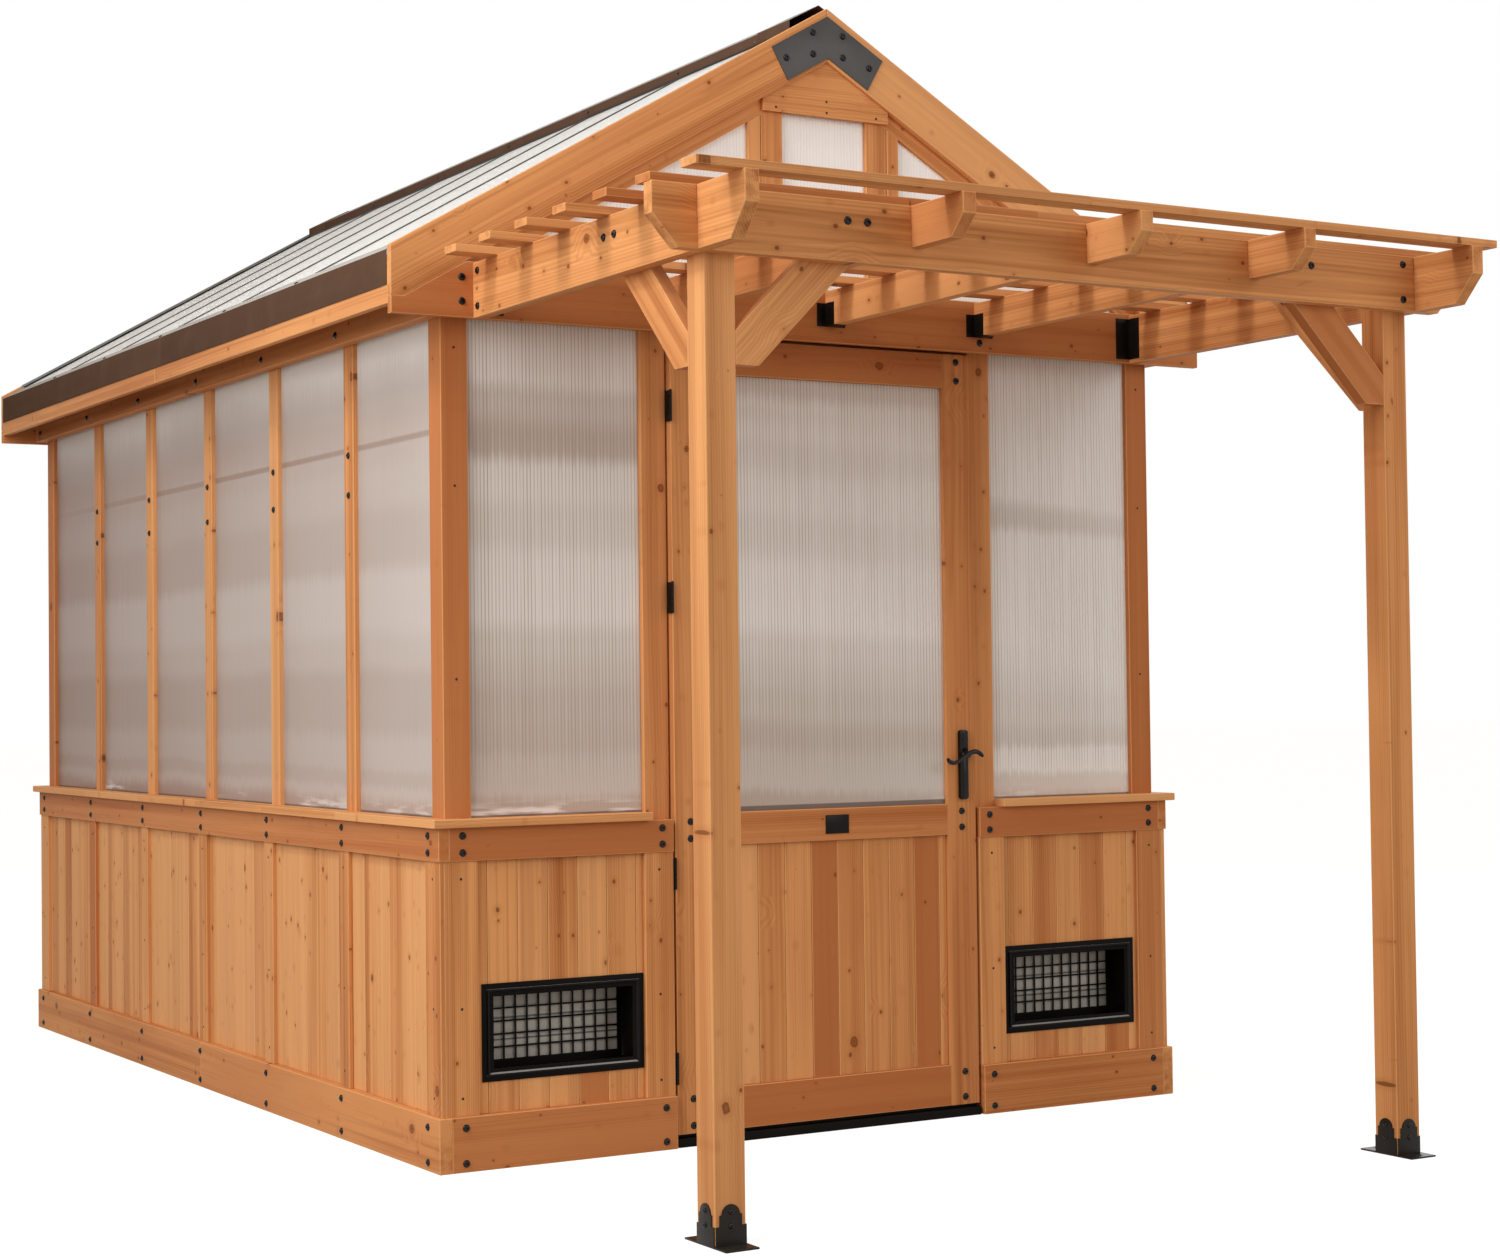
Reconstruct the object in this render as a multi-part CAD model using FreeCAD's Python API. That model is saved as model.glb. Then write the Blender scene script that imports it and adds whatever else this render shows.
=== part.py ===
import FreeCAD, Part
import math
import os

Vector = FreeCAD.Vector

# A walk-in cedar greenhouse with a pergola porch, in millimetres.
# X runs to the right along the front, Y runs from the front to the back, Z is up.
# While modelling, Y = 0 is the front face of the base boards.
# save() moves the origin to the middle of the footprint.

# House plan and frame
front_panel_width = 607.0
bay_count = 6
bay_pitch = 545.0
base_thickness = 33.0
base_height = 130.0
corner_post = 70.0
stud_width = 62.0
stud_depth = 42.0
rear_bay_count = 4
opening_half = 460.0
jamb_width = 70.0
stop_width = 12.0
stop_thickness = 12.0
window_rail_height = 40.0

# Wall layers, from the base upwards
rail_bottom = 730.0
rail_height = 80.0
rail_thickness = 27.0
sill_thickness = 20.0
sill_overhang = 12.0
siding_thickness = 12.0
siding_pitch = 80.0
batten_width = 64.0
batten_thickness = 11.0
corner_batten_width = 85.0
corner_stile_width = 87.0
door_stile_batten = 80.0
plate_bottom = 2020.0
plate_thickness = 33.0
plate_depth = 144.0
plate_joint_share = 0.495
header_height = 110.0
header_thickness = 31.0
pane_thickness = 8.0
pane_recess = 13.0
pane_top_lap = 10.0

# Roof
roof_pitch = 30.0
rafter_depth = 64.0
rafter_width = 40.0
gable_rafter_depth = 136.0
eave_overhang = 92.0
fascia_thickness = 20.0
fascia_lift = 20.0
fascia_joint_share = 0.51
ridge_thickness = 33.0
ridge_depth = 124.5
roof_pane_thickness = 10.0
roof_pane_peak_gap = 6.0
strip_web = 4.0
strip_cap_width = 30.0
strip_cap_thickness = 2.5
strip_eave_gap = 5.0
flashing_thickness = 1.5
flashing_flange = 60.0
flashing_screw_inset = 9.0
flashing_drop = 71.0
flashing_end_gap = 4.0
flashing_joint_share = 0.493
cap_half_width = 88.0
cap_lip = 30.0
cap_ease = 3.5
cap_thickness = 2.0
cap_setback = 20.0
cap_end_length = 160.0
cap_lap = 40.0
trim_width = 26.0
trim_rise = 12.0
trim_thickness = 1.5

# Gable ends
ledger_thickness = 20.0
ledger_drop = 5.4
ledger_height = 135.4
rake_rise = 23.0
rake_depth = 119.5
rake_tail_level = 43.0
gable_stud_inner = 127.0
gable_stud_width = 63.0
gable_jamb_width = 36.0
gable_jamb_gap = 2.0
peak_board_thickness = 12.0
peak_board_depth = 142.0
gusset_thickness = 3.0
gusset_length = 168.0
gusset_top_gap = 21.0
gusset_depth = 94.0
gusset_bolt_spread = 28.0
gusset_bolt_lift = 6.0

# Pergola porch
pergola_post = 72.0
porch_inset = 97.0
porch_reach = 1066.0
beam_thickness = 33.0
beam_depth = 131.0
beam_side_tail = 105.0
beam_front_tail = 190.0
beam_chamfer_run = 60.0
beam_chamfer_rise = 66.0
porch_rafter_thickness = 33.0
porch_rafter_depth = 89.0
porch_rafter_chamfer = 45.0
slat_width = 61.0
slat_thickness = 18.0
slat_first = 107.0
slat_pitch = 188.0
slat_left_overhang = 107.0
slat_right_overhang = 53.0
slat_joint = 147.0
brace_width = 89.0
brace_thickness = 33.0
brace_reach = 283.0
brace_toe = 70.0
brace_top_gap = 2.5
brace_rafter_gap = 6.6
hanger_thickness = 2.0
hanger_depth = 42.0
hanger_height = 60.0
hanger_flange = 24.0
angle_leg = 45.0
angle_thickness = 3.0
angle_inset = 10.0

# Post base brackets
foot_flange = 49.0
foot_plate_thickness = 4.0
foot_ear_thickness = 3.0
foot_ear_skirt = 39.0
foot_ear_corner_gap = 1.0
foot_ear_width = 52.0
foot_ear_shoulder = 62.0
foot_ear_top_radius = 21.0
foot_hole_radius = 6.5
foot_hole_edge = 15.0

# Shelf along the left wall
shelf_height = 1745.0
shelf_thickness = 18.0
shelf_depth = 200.0
shelf_bracket_drop = 145.0
shelf_bracket_thickness = 33.0

# Wall vents
vent_height = 320.5
vent_margin = 86.5
vent_flange_height = 232.0
vent_flange_border = 30.0
vent_flange_thickness = 3.0
vent_flange_lap = 17.0
vent_sleeve_wall = 3.0
vent_sleeve_depth = 94.0
grille_setback = 77.0
grille_thickness = 3.0
grille_pitch = 31.0
grille_bar = 4.0
grille_edge = 10.0
louvre_count = 3
louvre_pitch = 52.0
louvre_thickness = 3.0
louvre_lip = 1.5
louvre_gap = 0.8
louvre_pin_radius = 2.0
louvre_setback = 5.0
louvre_end_gap = 0.5

# Door
door_gap = 5.0
door_thickness = 38.0
door_setback = 14.0
sweep_gap = 2.0
door_top_gap = 10.0
stile_width = 89.0
top_rail_height = 90.0
mid_rail_bottom = 740.0
mid_rail_height = 82.0
bottom_rail_height = 106.0
door_board_first = 75.0
door_board_pitch = 79.0
door_board_recess = 10.0
sweep_depth = 26.0
sweep_height = 7.0
threshold_height = 22.0
threshold_depth = 52.0
threshold_setback = 8.0
threshold_end_gap = 3.0
name_plate_width = 70.0
name_plate_height = 48.0
name_plate_thickness = 2.0
name_plate_offset = 20.0

# Hinges
hinge_height = 77.0
hinge_foot = 125.0
hinge_below_rail = 104.0
hinge_above_rail = 498.0
hinge_head = 213.0
hinge_leaf_thickness = 2.0
hinge_leaf_depth = 36.0
knuckle_radius = 3.6
hinge_throw = 5.0
knuckle_count = 5
knuckle_gap = 0.4
hinge_pin_radius = 1.8
pin_head_radius = 3.0
pin_head_height = 2.0

# Latch
latch_rise = 128.0
latch_inset = 42.0
latch_plate_width = 25.0
latch_plate_height = 183.0
latch_plate_drop = 117.0
latch_plate_thickness = 12.0
latch_plate_corner = 8.0
spindle_radius = 4.5
spindle_hole_gap = 1.5
lever_hub_radius = 9.0
lever_standoff = 24.0
lever_length = 92.0
lever_thickness = 9.0
lever_root_height = 17.0
lever_tip_height = 11.0
latch_bolt_length = 25.0
latch_bolt_height = 18.0
latch_bolt_depth = 10.0
latch_bolt_front = 22.0
latch_bolt_nose = 1.8
latch_travel = 11.0
strike_width = 17.0
strike_height = 70.0
strike_thickness = 2.0

# Fasteners
bolt_radius = 9.0
bolt_rise = 5.0
small_bolt_radius = 6.0
small_bolt_rise = 3.5
screw_radius = 3.5
screw_rise = 1.5
bolt_edge = 26.0
rail_bolt_edge = 20.0
shelf_bolt_first = 6.0
shelf_bolt_second = 108.0

# Clearances
board_joint = 1.0
seat_gap = 0.3
pane_gap = 0.5
running_gap = 0.05

# Places that follow from the sizes above
frame_x = opening_half + front_panel_width
house_width = 2 * (frame_x + base_thickness)
house_length = 2 * (base_thickness + corner_post / 2) + bay_count * bay_pitch
frame_front = base_thickness
frame_rear = house_length - base_thickness
stud_lines = [frame_front + corner_post / 2 + bay_pitch * bay for bay in range(bay_count + 1)]
rear_half = frame_x - corner_post / 2
rear_pitch = 2 * rear_half / rear_bay_count
rear_lines = [-rear_half + rear_pitch * bay for bay in range(rear_bay_count + 1)]
jamb_outer = opening_half + jamb_width
jamb_line = opening_half + jamb_width / 2
post_line = frame_x - corner_post / 2
rail_top = rail_bottom + rail_height
sill_top = rail_top + sill_thickness
window_top = plate_bottom + pane_top_lap
header_top = plate_bottom + header_height
header_front = frame_front - header_thickness
header_rear = frame_rear + header_thickness
ledger_front = header_front - ledger_thickness
ledger_rear = header_rear + ledger_thickness
siding_face = frame_x + siding_thickness
siding_front = frame_front - siding_thickness
siding_rear = frame_rear + siding_thickness
batten_face = siding_face + batten_thickness
batten_front = siding_front - batten_thickness
batten_rear = siding_rear + batten_thickness
slope = math.tan(math.radians(roof_pitch))
slope_cos = math.cos(math.radians(roof_pitch))
cap_fall = slope - cap_ease / cap_half_width
cap_lap_lift = cap_thickness + seat_gap
rafter_drop = rafter_depth / slope_cos
pane_drop = roof_pane_thickness / slope_cos
rafter_seat_height = plate_bottom + plate_depth
rafter_apex = rafter_seat_height + rafter_drop + slope * frame_x
eave_x = house_width / 2 + eave_overhang
fascia_x = eave_x + fascia_thickness
fascia_bottom = plate_bottom + fascia_lift
rake_apex = rafter_apex + rake_rise
rake_under_apex = rake_apex - rake_depth / slope_cos
ledger_bottom = plate_bottom - ledger_drop
ledger_top = ledger_bottom + ledger_height
rake_tail_bottom = ledger_bottom + rake_tail_level
rake_tail_x = fascia_x + board_joint
beam_bottom = ledger_bottom
beam_top = beam_bottom + beam_depth
post_outer = frame_x - porch_inset
post_inner = post_outer - pergola_post
post_front = -porch_reach
post_back = post_front + pergola_post
beam_outer = post_outer + beam_thickness
front_beam_face = post_front - beam_thickness
beam_end = front_beam_face - beam_front_tail
brace_across = brace_width * math.sqrt(2)
porch_rafter_pitch = post_inner - brace_reach - brace_across - brace_rafter_gap - porch_rafter_thickness / 2
foot_x = post_outer - pergola_post / 2
foot_y = post_front + pergola_post / 2
vent_x = (opening_half + frame_x) / 2
vent_flange_width = front_panel_width - 2 * vent_margin
vent_hole_width = vent_flange_width - 2 * vent_flange_lap
vent_hole_height = vent_flange_height - 2 * vent_flange_lap
flange_front = siding_front - vent_flange_thickness
sleeve_width = vent_hole_width - 2 * seat_gap
sleeve_height = vent_hole_height - 2 * seat_gap
sleeve_inner_width = sleeve_width - 2 * vent_sleeve_wall
sleeve_inner_height = sleeve_height - 2 * vent_sleeve_wall
grille_columns = int((sleeve_inner_width - 2 * grille_edge) / grille_pitch)
grille_rows = int((sleeve_inner_height - 2 * grille_edge) / grille_pitch)
grille_y = flange_front + grille_setback
louvre_y = grille_y + grille_thickness + louvre_setback
door_half = opening_half - door_gap
door_front = door_setback
door_back = door_front + door_thickness
door_bottom = threshold_height + sweep_gap + sweep_height
door_top = plate_bottom - door_top_gap
stile_inner = door_half - stile_width
mid_rail_top = mid_rail_bottom + mid_rail_height
bottom_rail_top = door_bottom + bottom_rail_height
hinge_bottoms = [
    door_bottom + hinge_foot,
    mid_rail_bottom - hinge_below_rail,
    mid_rail_top + hinge_above_rail,
    door_top - hinge_head,
]
hinge_x = -(opening_half + door_half) / 2
hinge_y = door_front - hinge_throw
skirt_edge = opening_half - door_gap / 2 + hinge_throw + pane_gap
latch_height = mid_rail_top + latch_rise
latch_x = door_half - latch_inset
latch_bolt_y = door_front + latch_bolt_front
stile_line = door_half - stile_width / 2
rear_most = ledger_rear + gusset_thickness + bolt_rise
mid_y = (beam_end + rear_most) / 2


def box(x0, x1, y0, y1, z0, z1):
    return Part.makeBox(x1 - x0, y1 - y0, z1 - z0, Vector(x0, y0, z0))


def prism_y(outline, y0, y1):
    corners = [Vector(x, y0, z) for x, z in outline]
    face = Part.Face(Part.makePolygon(corners + corners[:1]))
    return face.extrude(Vector(0, y1 - y0, 0))


def prism_x(outline, x0, x1):
    corners = [Vector(x0, y, z) for y, z in outline]
    face = Part.Face(Part.makePolygon(corners + corners[:1]))
    return face.extrude(Vector(x1 - x0, 0, 0))


def prism_z(outline, z0, z1):
    corners = [Vector(x, y, z0) for x, y in outline]
    face = Part.Face(Part.makePolygon(corners + corners[:1]))
    return face.extrude(Vector(0, 0, z1 - z0))


def mirrored(shape):
    return shape.mirror(Vector(0, 0, 0), Vector(1, 0, 0))


def both_sides(shapes):
    return shapes + [mirrored(shape) for shape in shapes]


def rafter_top(x):
    return rafter_apex - slope * abs(x)


def rafter_under(x):
    return rafter_top(x) - rafter_drop


def pane_top(x):
    return rafter_top(x) + pane_drop


def gable_under(x):
    return rafter_top(x) - gable_rafter_depth / slope_cos


def rake_under(x):
    return rake_under_apex - slope * abs(x)


def dome(point, direction, radius, rise):
    # A rounded fastener head, flat on the face that it is driven into.
    ball = (radius * radius + rise * rise) / (2 * rise)
    centre = Vector(*point) - direction * (ball - rise)
    cut_latitude = math.degrees(math.asin((ball - rise) / ball))
    return Part.makeSphere(ball, centre, direction, cut_latitude, 90, 360)


def save(node, solids):
    shape = Part.makeCompound(solids)
    shape.translate(Vector(0, -mid_y, 0))
    shape.exportStep("parts/" + node + ".step")


# Heads face these ways
left_way = Vector(-1, 0, 0)
right_way = Vector(1, 0, 0)
front_way = Vector(0, -1, 0)
rear_way = Vector(0, 1, 0)


# House frame
def base_boards():
    middle = house_length / 2
    front = box(skirt_edge, frame_x, 0, base_thickness, 0, base_height)
    near = box(frame_x, house_width / 2, 0, middle - board_joint / 2, 0, base_height)
    far = box(frame_x, house_width / 2, middle + board_joint / 2, house_length, 0, base_height)
    rear = box(-frame_x, frame_x, frame_rear, house_length, 0, base_height)
    return both_sides([front, near, far]) + [rear]


def corner_posts():
    inner = frame_x - corner_post
    outline = [(inner, 0), (frame_x, 0), (frame_x, rafter_top(frame_x)), (inner, rafter_top(inner))]
    front = prism_y(outline, frame_front, frame_front + corner_post)
    rear = prism_y(outline, frame_rear - corner_post, frame_rear)
    return both_sides([front, rear])


def wall_studs():
    inner = frame_x - stud_depth
    outline = [(inner, 0), (frame_x, 0), (frame_x, rafter_under(frame_x)), (inner, rafter_under(inner))]
    side = []
    for line in stud_lines[1:-1]:
        side.append(prism_y(outline, line - stud_width / 2, line + stud_width / 2))
    rear = []
    for line in rear_lines[1:-1]:
        stud = box(
            line - stud_width / 2, line + stud_width / 2, frame_rear - stud_depth, frame_rear, 0, header_top
        )
        rear.append(stud)
    return both_sides(side) + rear


def door_jambs():
    back = frame_front + stud_depth
    stop_y = door_back + pane_gap
    stop_inner = opening_half - stop_width
    stop_top = plate_bottom - stop_thickness
    jamb = box(opening_half, jamb_outer, frame_front, back, 0, header_top)
    stop = box(stop_inner, opening_half, stop_y, stop_y + stop_thickness, threshold_height, plate_bottom)
    head = box(
        -opening_half, opening_half, frame_front, back, plate_bottom, plate_bottom + window_rail_height
    )
    head_stop = box(-stop_inner, stop_inner, stop_y, stop_y + stop_thickness, stop_top, plate_bottom)
    return both_sides([jamb, stop]) + [head, head_stop]


def belt_rails():
    outer = frame_x + rail_thickness
    face = frame_front - rail_thickness
    rear_face = frame_rear + rail_thickness
    side = box(frame_x, outer, face, rear_face, rail_bottom, rail_top)
    front = box(skirt_edge, frame_x, face, frame_front, rail_bottom, rail_top)
    rear = box(-frame_x, frame_x, frame_rear, rear_face, rail_bottom, rail_top)
    return both_sides([side, front]) + [rear]


def sill_ledges():
    # Side ledges are cut on the stud lines; the corners are mitred.
    outer = house_width / 2 + sill_overhang
    front_edge = -sill_overhang
    rear_edge = house_length + sill_overhang
    half_joint = board_joint / 2
    side = []
    for bay in range(bay_count):
        near_inner = frame_front if bay == 0 else stud_lines[bay] + half_joint
        near_outer = front_edge if bay == 0 else stud_lines[bay] + half_joint
        last = bay == bay_count - 1
        far_inner = frame_rear if last else stud_lines[bay + 1] - half_joint
        far_outer = rear_edge if last else stud_lines[bay + 1] - half_joint
        outline = [(frame_x, near_inner), (outer, near_outer), (outer, far_outer), (frame_x, far_inner)]
        side.append(prism_z(outline, rail_top, sill_top))
    front_outline = [
        (jamb_outer, frame_front), (jamb_outer, front_edge), (outer, front_edge), (frame_x, frame_front)
    ]
    front = prism_z(front_outline, rail_top, sill_top)
    rear_outline = [(-frame_x, frame_rear), (frame_x, frame_rear), (outer, rear_edge), (-outer, rear_edge)]
    rear = prism_z(rear_outline, rail_top, sill_top)
    return both_sides(side + [front]) + [rear]


def bay_spans():
    # Clear spans between the posts and studs of a side wall.
    spans = []
    for bay in range(bay_count):
        near = stud_lines[bay] + (corner_post if bay == 0 else stud_width) / 2
        last = bay == bay_count - 1
        far = stud_lines[bay + 1] - (corner_post if last else stud_width) / 2
        spans.append((near, far))
    return spans


def rear_spans():
    spans = []
    for bay in range(rear_bay_count):
        near = rear_lines[bay] + (corner_post if bay == 0 else stud_width) / 2
        last = bay == rear_bay_count - 1
        far = rear_lines[bay + 1] - (corner_post if last else stud_width) / 2
        spans.append((near, far))
    return spans


def window_rails():
    inner = frame_x - stud_depth
    post_face = frame_x - corner_post
    levels = [(sill_top - window_rail_height, sill_top), (window_top, window_top + window_rail_height)]
    side = []
    rear = []
    for low, high in levels:
        for near, far in bay_spans():
            side.append(box(inner, frame_x, near, far, low, high))
        side.append(box(jamb_outer, post_face, frame_front, frame_front + stud_depth, low, high))
        for near, far in rear_spans():
            rear.append(box(near, far, frame_rear - stud_depth, frame_rear, low, high))
    return both_sides(side) + rear


def side_panes():
    outer = frame_x - pane_recess
    panes = []
    for near, far in bay_spans():
        low = sill_top + pane_gap
        high = window_top - pane_gap
        panes.append(box(outer - pane_thickness, outer, near + pane_gap, far - pane_gap, low, high))
    return both_sides(panes)


def front_panes():
    near = frame_front + pane_recess
    left = jamb_outer + pane_gap
    right = frame_x - corner_post - pane_gap
    pane = box(left, right, near, near + pane_thickness, sill_top + pane_gap, window_top - pane_gap)
    return both_sides([pane])


def rear_panes():
    far = frame_rear - pane_recess
    panes = []
    for left, right in rear_spans():
        low = sill_top + pane_gap
        high = window_top - pane_gap
        panes.append(box(left + pane_gap, right - pane_gap, far - pane_thickness, far, low, high))
    return panes


def top_plates():
    outer = frame_x + plate_thickness
    outline = [
        (frame_x, plate_bottom),
        (outer, plate_bottom),
        (outer, rafter_under(outer)),
        (frame_x, rafter_under(frame_x)),
    ]
    joint = frame_front + (frame_rear - frame_front) * plate_joint_share
    near = prism_y(outline, frame_front, joint - board_joint / 2)
    far = prism_y(outline, joint + board_joint / 2, frame_rear)
    front = box(-outer, outer, header_front, frame_front, plate_bottom, header_top)
    rear = box(-outer, outer, frame_rear, header_rear, plate_bottom, header_top)
    return both_sides([near, far]) + [front, rear]


# Siding below the windows
def board_edges(start, end, pitch):
    count = max(1, round((end - start) / pitch))
    width = (end - start) / count
    return [(start + width * i, start + width * (i + 1)) for i in range(count)]


def side_siding():
    half_joint = board_joint / 2
    boards = []
    for near, far in board_edges(siding_front, siding_rear, siding_pitch):
        board = box(
            frame_x, siding_face, near + half_joint, far - half_joint, base_height, rail_bottom
        )
        boards.append(board)
    return both_sides(boards)


def front_siding():
    # Boards are laid out from the vent's centre line and cut around its hole.
    half_joint = board_joint / 2
    half_span = (frame_x - skirt_edge) / 2
    middle = (frame_x + skirt_edge) / 2
    left_hole = vent_x - vent_hole_width / 2
    right_hole = vent_x + vent_hole_width / 2
    low_hole = vent_height - vent_hole_height / 2
    high_hole = vent_height + vent_hole_height / 2
    hole = box(left_hole, right_hole, siding_front, frame_front, low_hole, high_hole)
    joints = [vent_x + siding_pitch * (i + 0.5) for i in range(-int(half_span), int(half_span))]
    inside = [x for x in joints if abs(x - middle) < half_span - board_joint]
    edges = [skirt_edge] + inside + [frame_x]
    boards = []
    for left, right in zip(edges[:-1], edges[1:]):
        board = box(
            left + half_joint, right - half_joint, siding_front, frame_front, base_height, rail_bottom
        )
        boards.extend(board.cut(hole).Solids)
    return both_sides(boards)


def rear_siding():
    half_joint = board_joint / 2
    boards = []
    for left, right in board_edges(-frame_x, frame_x, siding_pitch):
        board = box(
            left + half_joint, right - half_joint, frame_rear, siding_rear, base_height, rail_bottom
        )
        boards.append(board)
    return boards


def siding_battens():
    side = []
    for line in stud_lines[1:-1]:
        near = line - batten_width / 2
        side.append(box(siding_face, batten_face, near, near + batten_width, base_height, rail_bottom))
    near_corner = box(
        siding_face, batten_face, batten_front, batten_front + corner_batten_width, base_height, rail_bottom
    )
    far_corner = box(
        siding_face, batten_face, batten_rear - corner_batten_width, batten_rear, base_height, rail_bottom
    )
    corner_inner = siding_face - corner_stile_width
    corner = box(corner_inner, siding_face, batten_front, siding_front, base_height, rail_bottom)
    door_stile = box(
        skirt_edge, skirt_edge + door_stile_batten, batten_front, siding_front, base_height, rail_bottom
    )
    rear_corner = box(corner_inner, siding_face, siding_rear, batten_rear, base_height, rail_bottom)
    rear = []
    for line in rear_lines[1:-1]:
        left = line - batten_width / 2
        rear.append(box(left, left + batten_width, siding_rear, batten_rear, base_height, rail_bottom))
    return both_sides(side + [near_corner, far_corner, corner, door_stile, rear_corner]) + rear


# Gable ends
def front_and_rear(front, rear_offset):
    rear = front.copy()
    rear.translate(Vector(0, rear_offset, 0))
    return [front, rear]


def gable_ledgers():
    rake_foot = (rake_under_apex - rake_tail_bottom) / slope
    shoulder = (rake_under_apex - ledger_top) / slope
    right = [(rake_tail_x, ledger_bottom), (rake_tail_x, rake_tail_bottom), (rake_foot, rake_tail_bottom)]
    right.append((shoulder, ledger_top))
    left = [(-x, z) for x, z in reversed(right)]
    front = prism_y(right + left, ledger_front, header_front)
    return front_and_rear(front, header_rear - ledger_front)


def rake_boards():
    rake_foot = (rake_under_apex - rake_tail_bottom) / slope
    outline = [
        (board_joint / 2, rake_under(board_joint / 2)),
        (rake_foot, rake_tail_bottom),
        (rake_tail_x, rake_tail_bottom),
        (rake_tail_x, rake_apex - slope * rake_tail_x),
        (board_joint / 2, rake_apex - slope * board_joint / 2),
    ]
    front = prism_y(outline, ledger_front, header_front)
    return both_sides(front_and_rear(front, header_rear - ledger_front))


def gable_rafters():
    foot = (gable_under(0) - header_top) / slope
    outline = [
        (0, gable_under(0)),
        (foot, header_top),
        (eave_x, header_top),
        (eave_x, rafter_top(eave_x)),
        (0, rafter_top(0)),
    ]
    front = prism_y(outline, header_front, frame_front)
    return both_sides(front_and_rear(front, frame_rear - header_front))


def gable_frames():
    # Twin studs each side of the middle light, and the board that closes the peak between the rakes.
    offset = frame_rear - header_front
    stud_outer = gable_stud_inner + gable_stud_width
    jamb_start = stud_outer + gable_jamb_gap
    studs = []
    for inner, outer in [(gable_stud_inner, stud_outer), (jamb_start, jamb_start + gable_jamb_width)]:
        outline = [
            (inner, header_top), (outer, header_top), (outer, gable_under(outer)), (inner, gable_under(inner))
        ]
        studs.extend(front_and_rear(prism_y(outline, header_front, frame_front), offset))
    low = rake_under_apex - peak_board_depth
    edge = rake_under(stud_outer)
    outline = [
        (-stud_outer, low), (stud_outer, low), (stud_outer, edge), (0, rake_under_apex), (-stud_outer, edge)
    ]
    front_peak = prism_y(outline, header_front - peak_board_thickness, header_front)
    rear_peak = prism_y(outline, header_rear, header_rear + peak_board_thickness)
    return both_sides(studs) + [front_peak, rear_peak]


def gable_panes():
    near = header_front + (header_thickness - pane_thickness) / 2
    far = near + pane_thickness
    low = header_top + pane_gap
    drop = pane_gap / slope_cos
    half = gable_stud_inner - pane_gap
    edge = gable_under(half) - drop
    middle = [(-half, low), (half, low), (half, edge), (0, gable_under(0) - drop), (-half, edge)]
    inner = gable_stud_inner + gable_stud_width + gable_jamb_gap + gable_jamb_width + pane_gap
    tip = (gable_under(0) - drop - low) / slope
    side = [(inner, low), (tip, low), (inner, gable_under(inner) - drop)]
    rear_shift = house_length - near - far
    middles = front_and_rear(prism_y(middle, near, far), rear_shift)
    return middles + both_sides(front_and_rear(prism_y(side, near, far), rear_shift))


def gusset_plates():
    top = rake_apex - gusset_top_gap
    outer_x = gusset_length
    outer_z = top - slope * outer_x
    end_x = outer_x - gusset_depth * math.sin(math.radians(roof_pitch))
    end_z = outer_z - gusset_depth * slope_cos
    right = [(0, top - gusset_depth / slope_cos), (end_x, end_z), (outer_x, outer_z), (0, top)]
    left = [(-outer_x, outer_z), (-end_x, end_z)]
    front = prism_y(right + left, ledger_front - gusset_thickness, ledger_front)
    rear = prism_y(right + left, ledger_rear, ledger_rear + gusset_thickness)
    return [front, rear]


# Roof
def roof_rafters():
    inner = ridge_thickness / 2
    outline = [
        (inner, rafter_under(inner)),
        (eave_x, rafter_under(eave_x)),
        (eave_x, rafter_top(eave_x)),
        (inner, rafter_top(inner)),
    ]
    rafters = []
    for line in stud_lines[1:-1]:
        rafters.append(prism_y(outline, line - rafter_width / 2, line + rafter_width / 2))
    return both_sides(rafters)


def ridge_beam():
    half = ridge_thickness / 2
    top = rafter_top(half)
    return [box(-half, half, frame_front, frame_rear, top - ridge_depth, top)]


def roof_panes():
    outline = [
        (roof_pane_peak_gap, rafter_top(roof_pane_peak_gap)),
        (fascia_x, rafter_top(fascia_x)),
        (fascia_x, pane_top(fascia_x)),
        (roof_pane_peak_gap, pane_top(roof_pane_peak_gap)),
    ]
    half_seam = strip_web / 2 + pane_gap
    starts = [header_front] + [line + half_seam for line in stud_lines[1:-1]]
    ends = [line - half_seam for line in stud_lines[1:-1]] + [header_rear]
    return both_sides([prism_y(outline, near, far) for near, far in zip(starts, ends)])


def roof_joint_strips():
    inner = cap_half_width + strip_eave_gap
    outer = fascia_x - flashing_flange - strip_eave_gap
    cap_drop = strip_cap_thickness / slope_cos
    web_outline = [
        (inner, rafter_top(inner)),
        (outer, rafter_top(outer)),
        (outer, pane_top(outer)),
        (inner, pane_top(inner)),
    ]
    cap_outline = [
        (inner, pane_top(inner)),
        (outer, pane_top(outer)),
        (outer, pane_top(outer) + cap_drop),
        (inner, pane_top(inner) + cap_drop),
    ]
    strips = []
    for line in stud_lines[1:-1]:
        web = prism_y(web_outline, line - strip_web / 2, line + strip_web / 2)
        cap = prism_y(cap_outline, line - strip_cap_width / 2, line + strip_cap_width / 2)
        strips.append(web.fuse(cap).removeSplitter())
    return both_sides(strips)


def eave_fascias():
    outline = [
        (eave_x, fascia_bottom),
        (fascia_x, fascia_bottom),
        (fascia_x, rafter_top(fascia_x)),
        (eave_x, rafter_top(eave_x)),
    ]
    joint = header_front + (header_rear - header_front) * fascia_joint_share
    near = prism_y(outline, header_front, joint - board_joint / 2)
    far = prism_y(outline, joint + board_joint / 2, header_rear)
    return both_sides([near, far])


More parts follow.
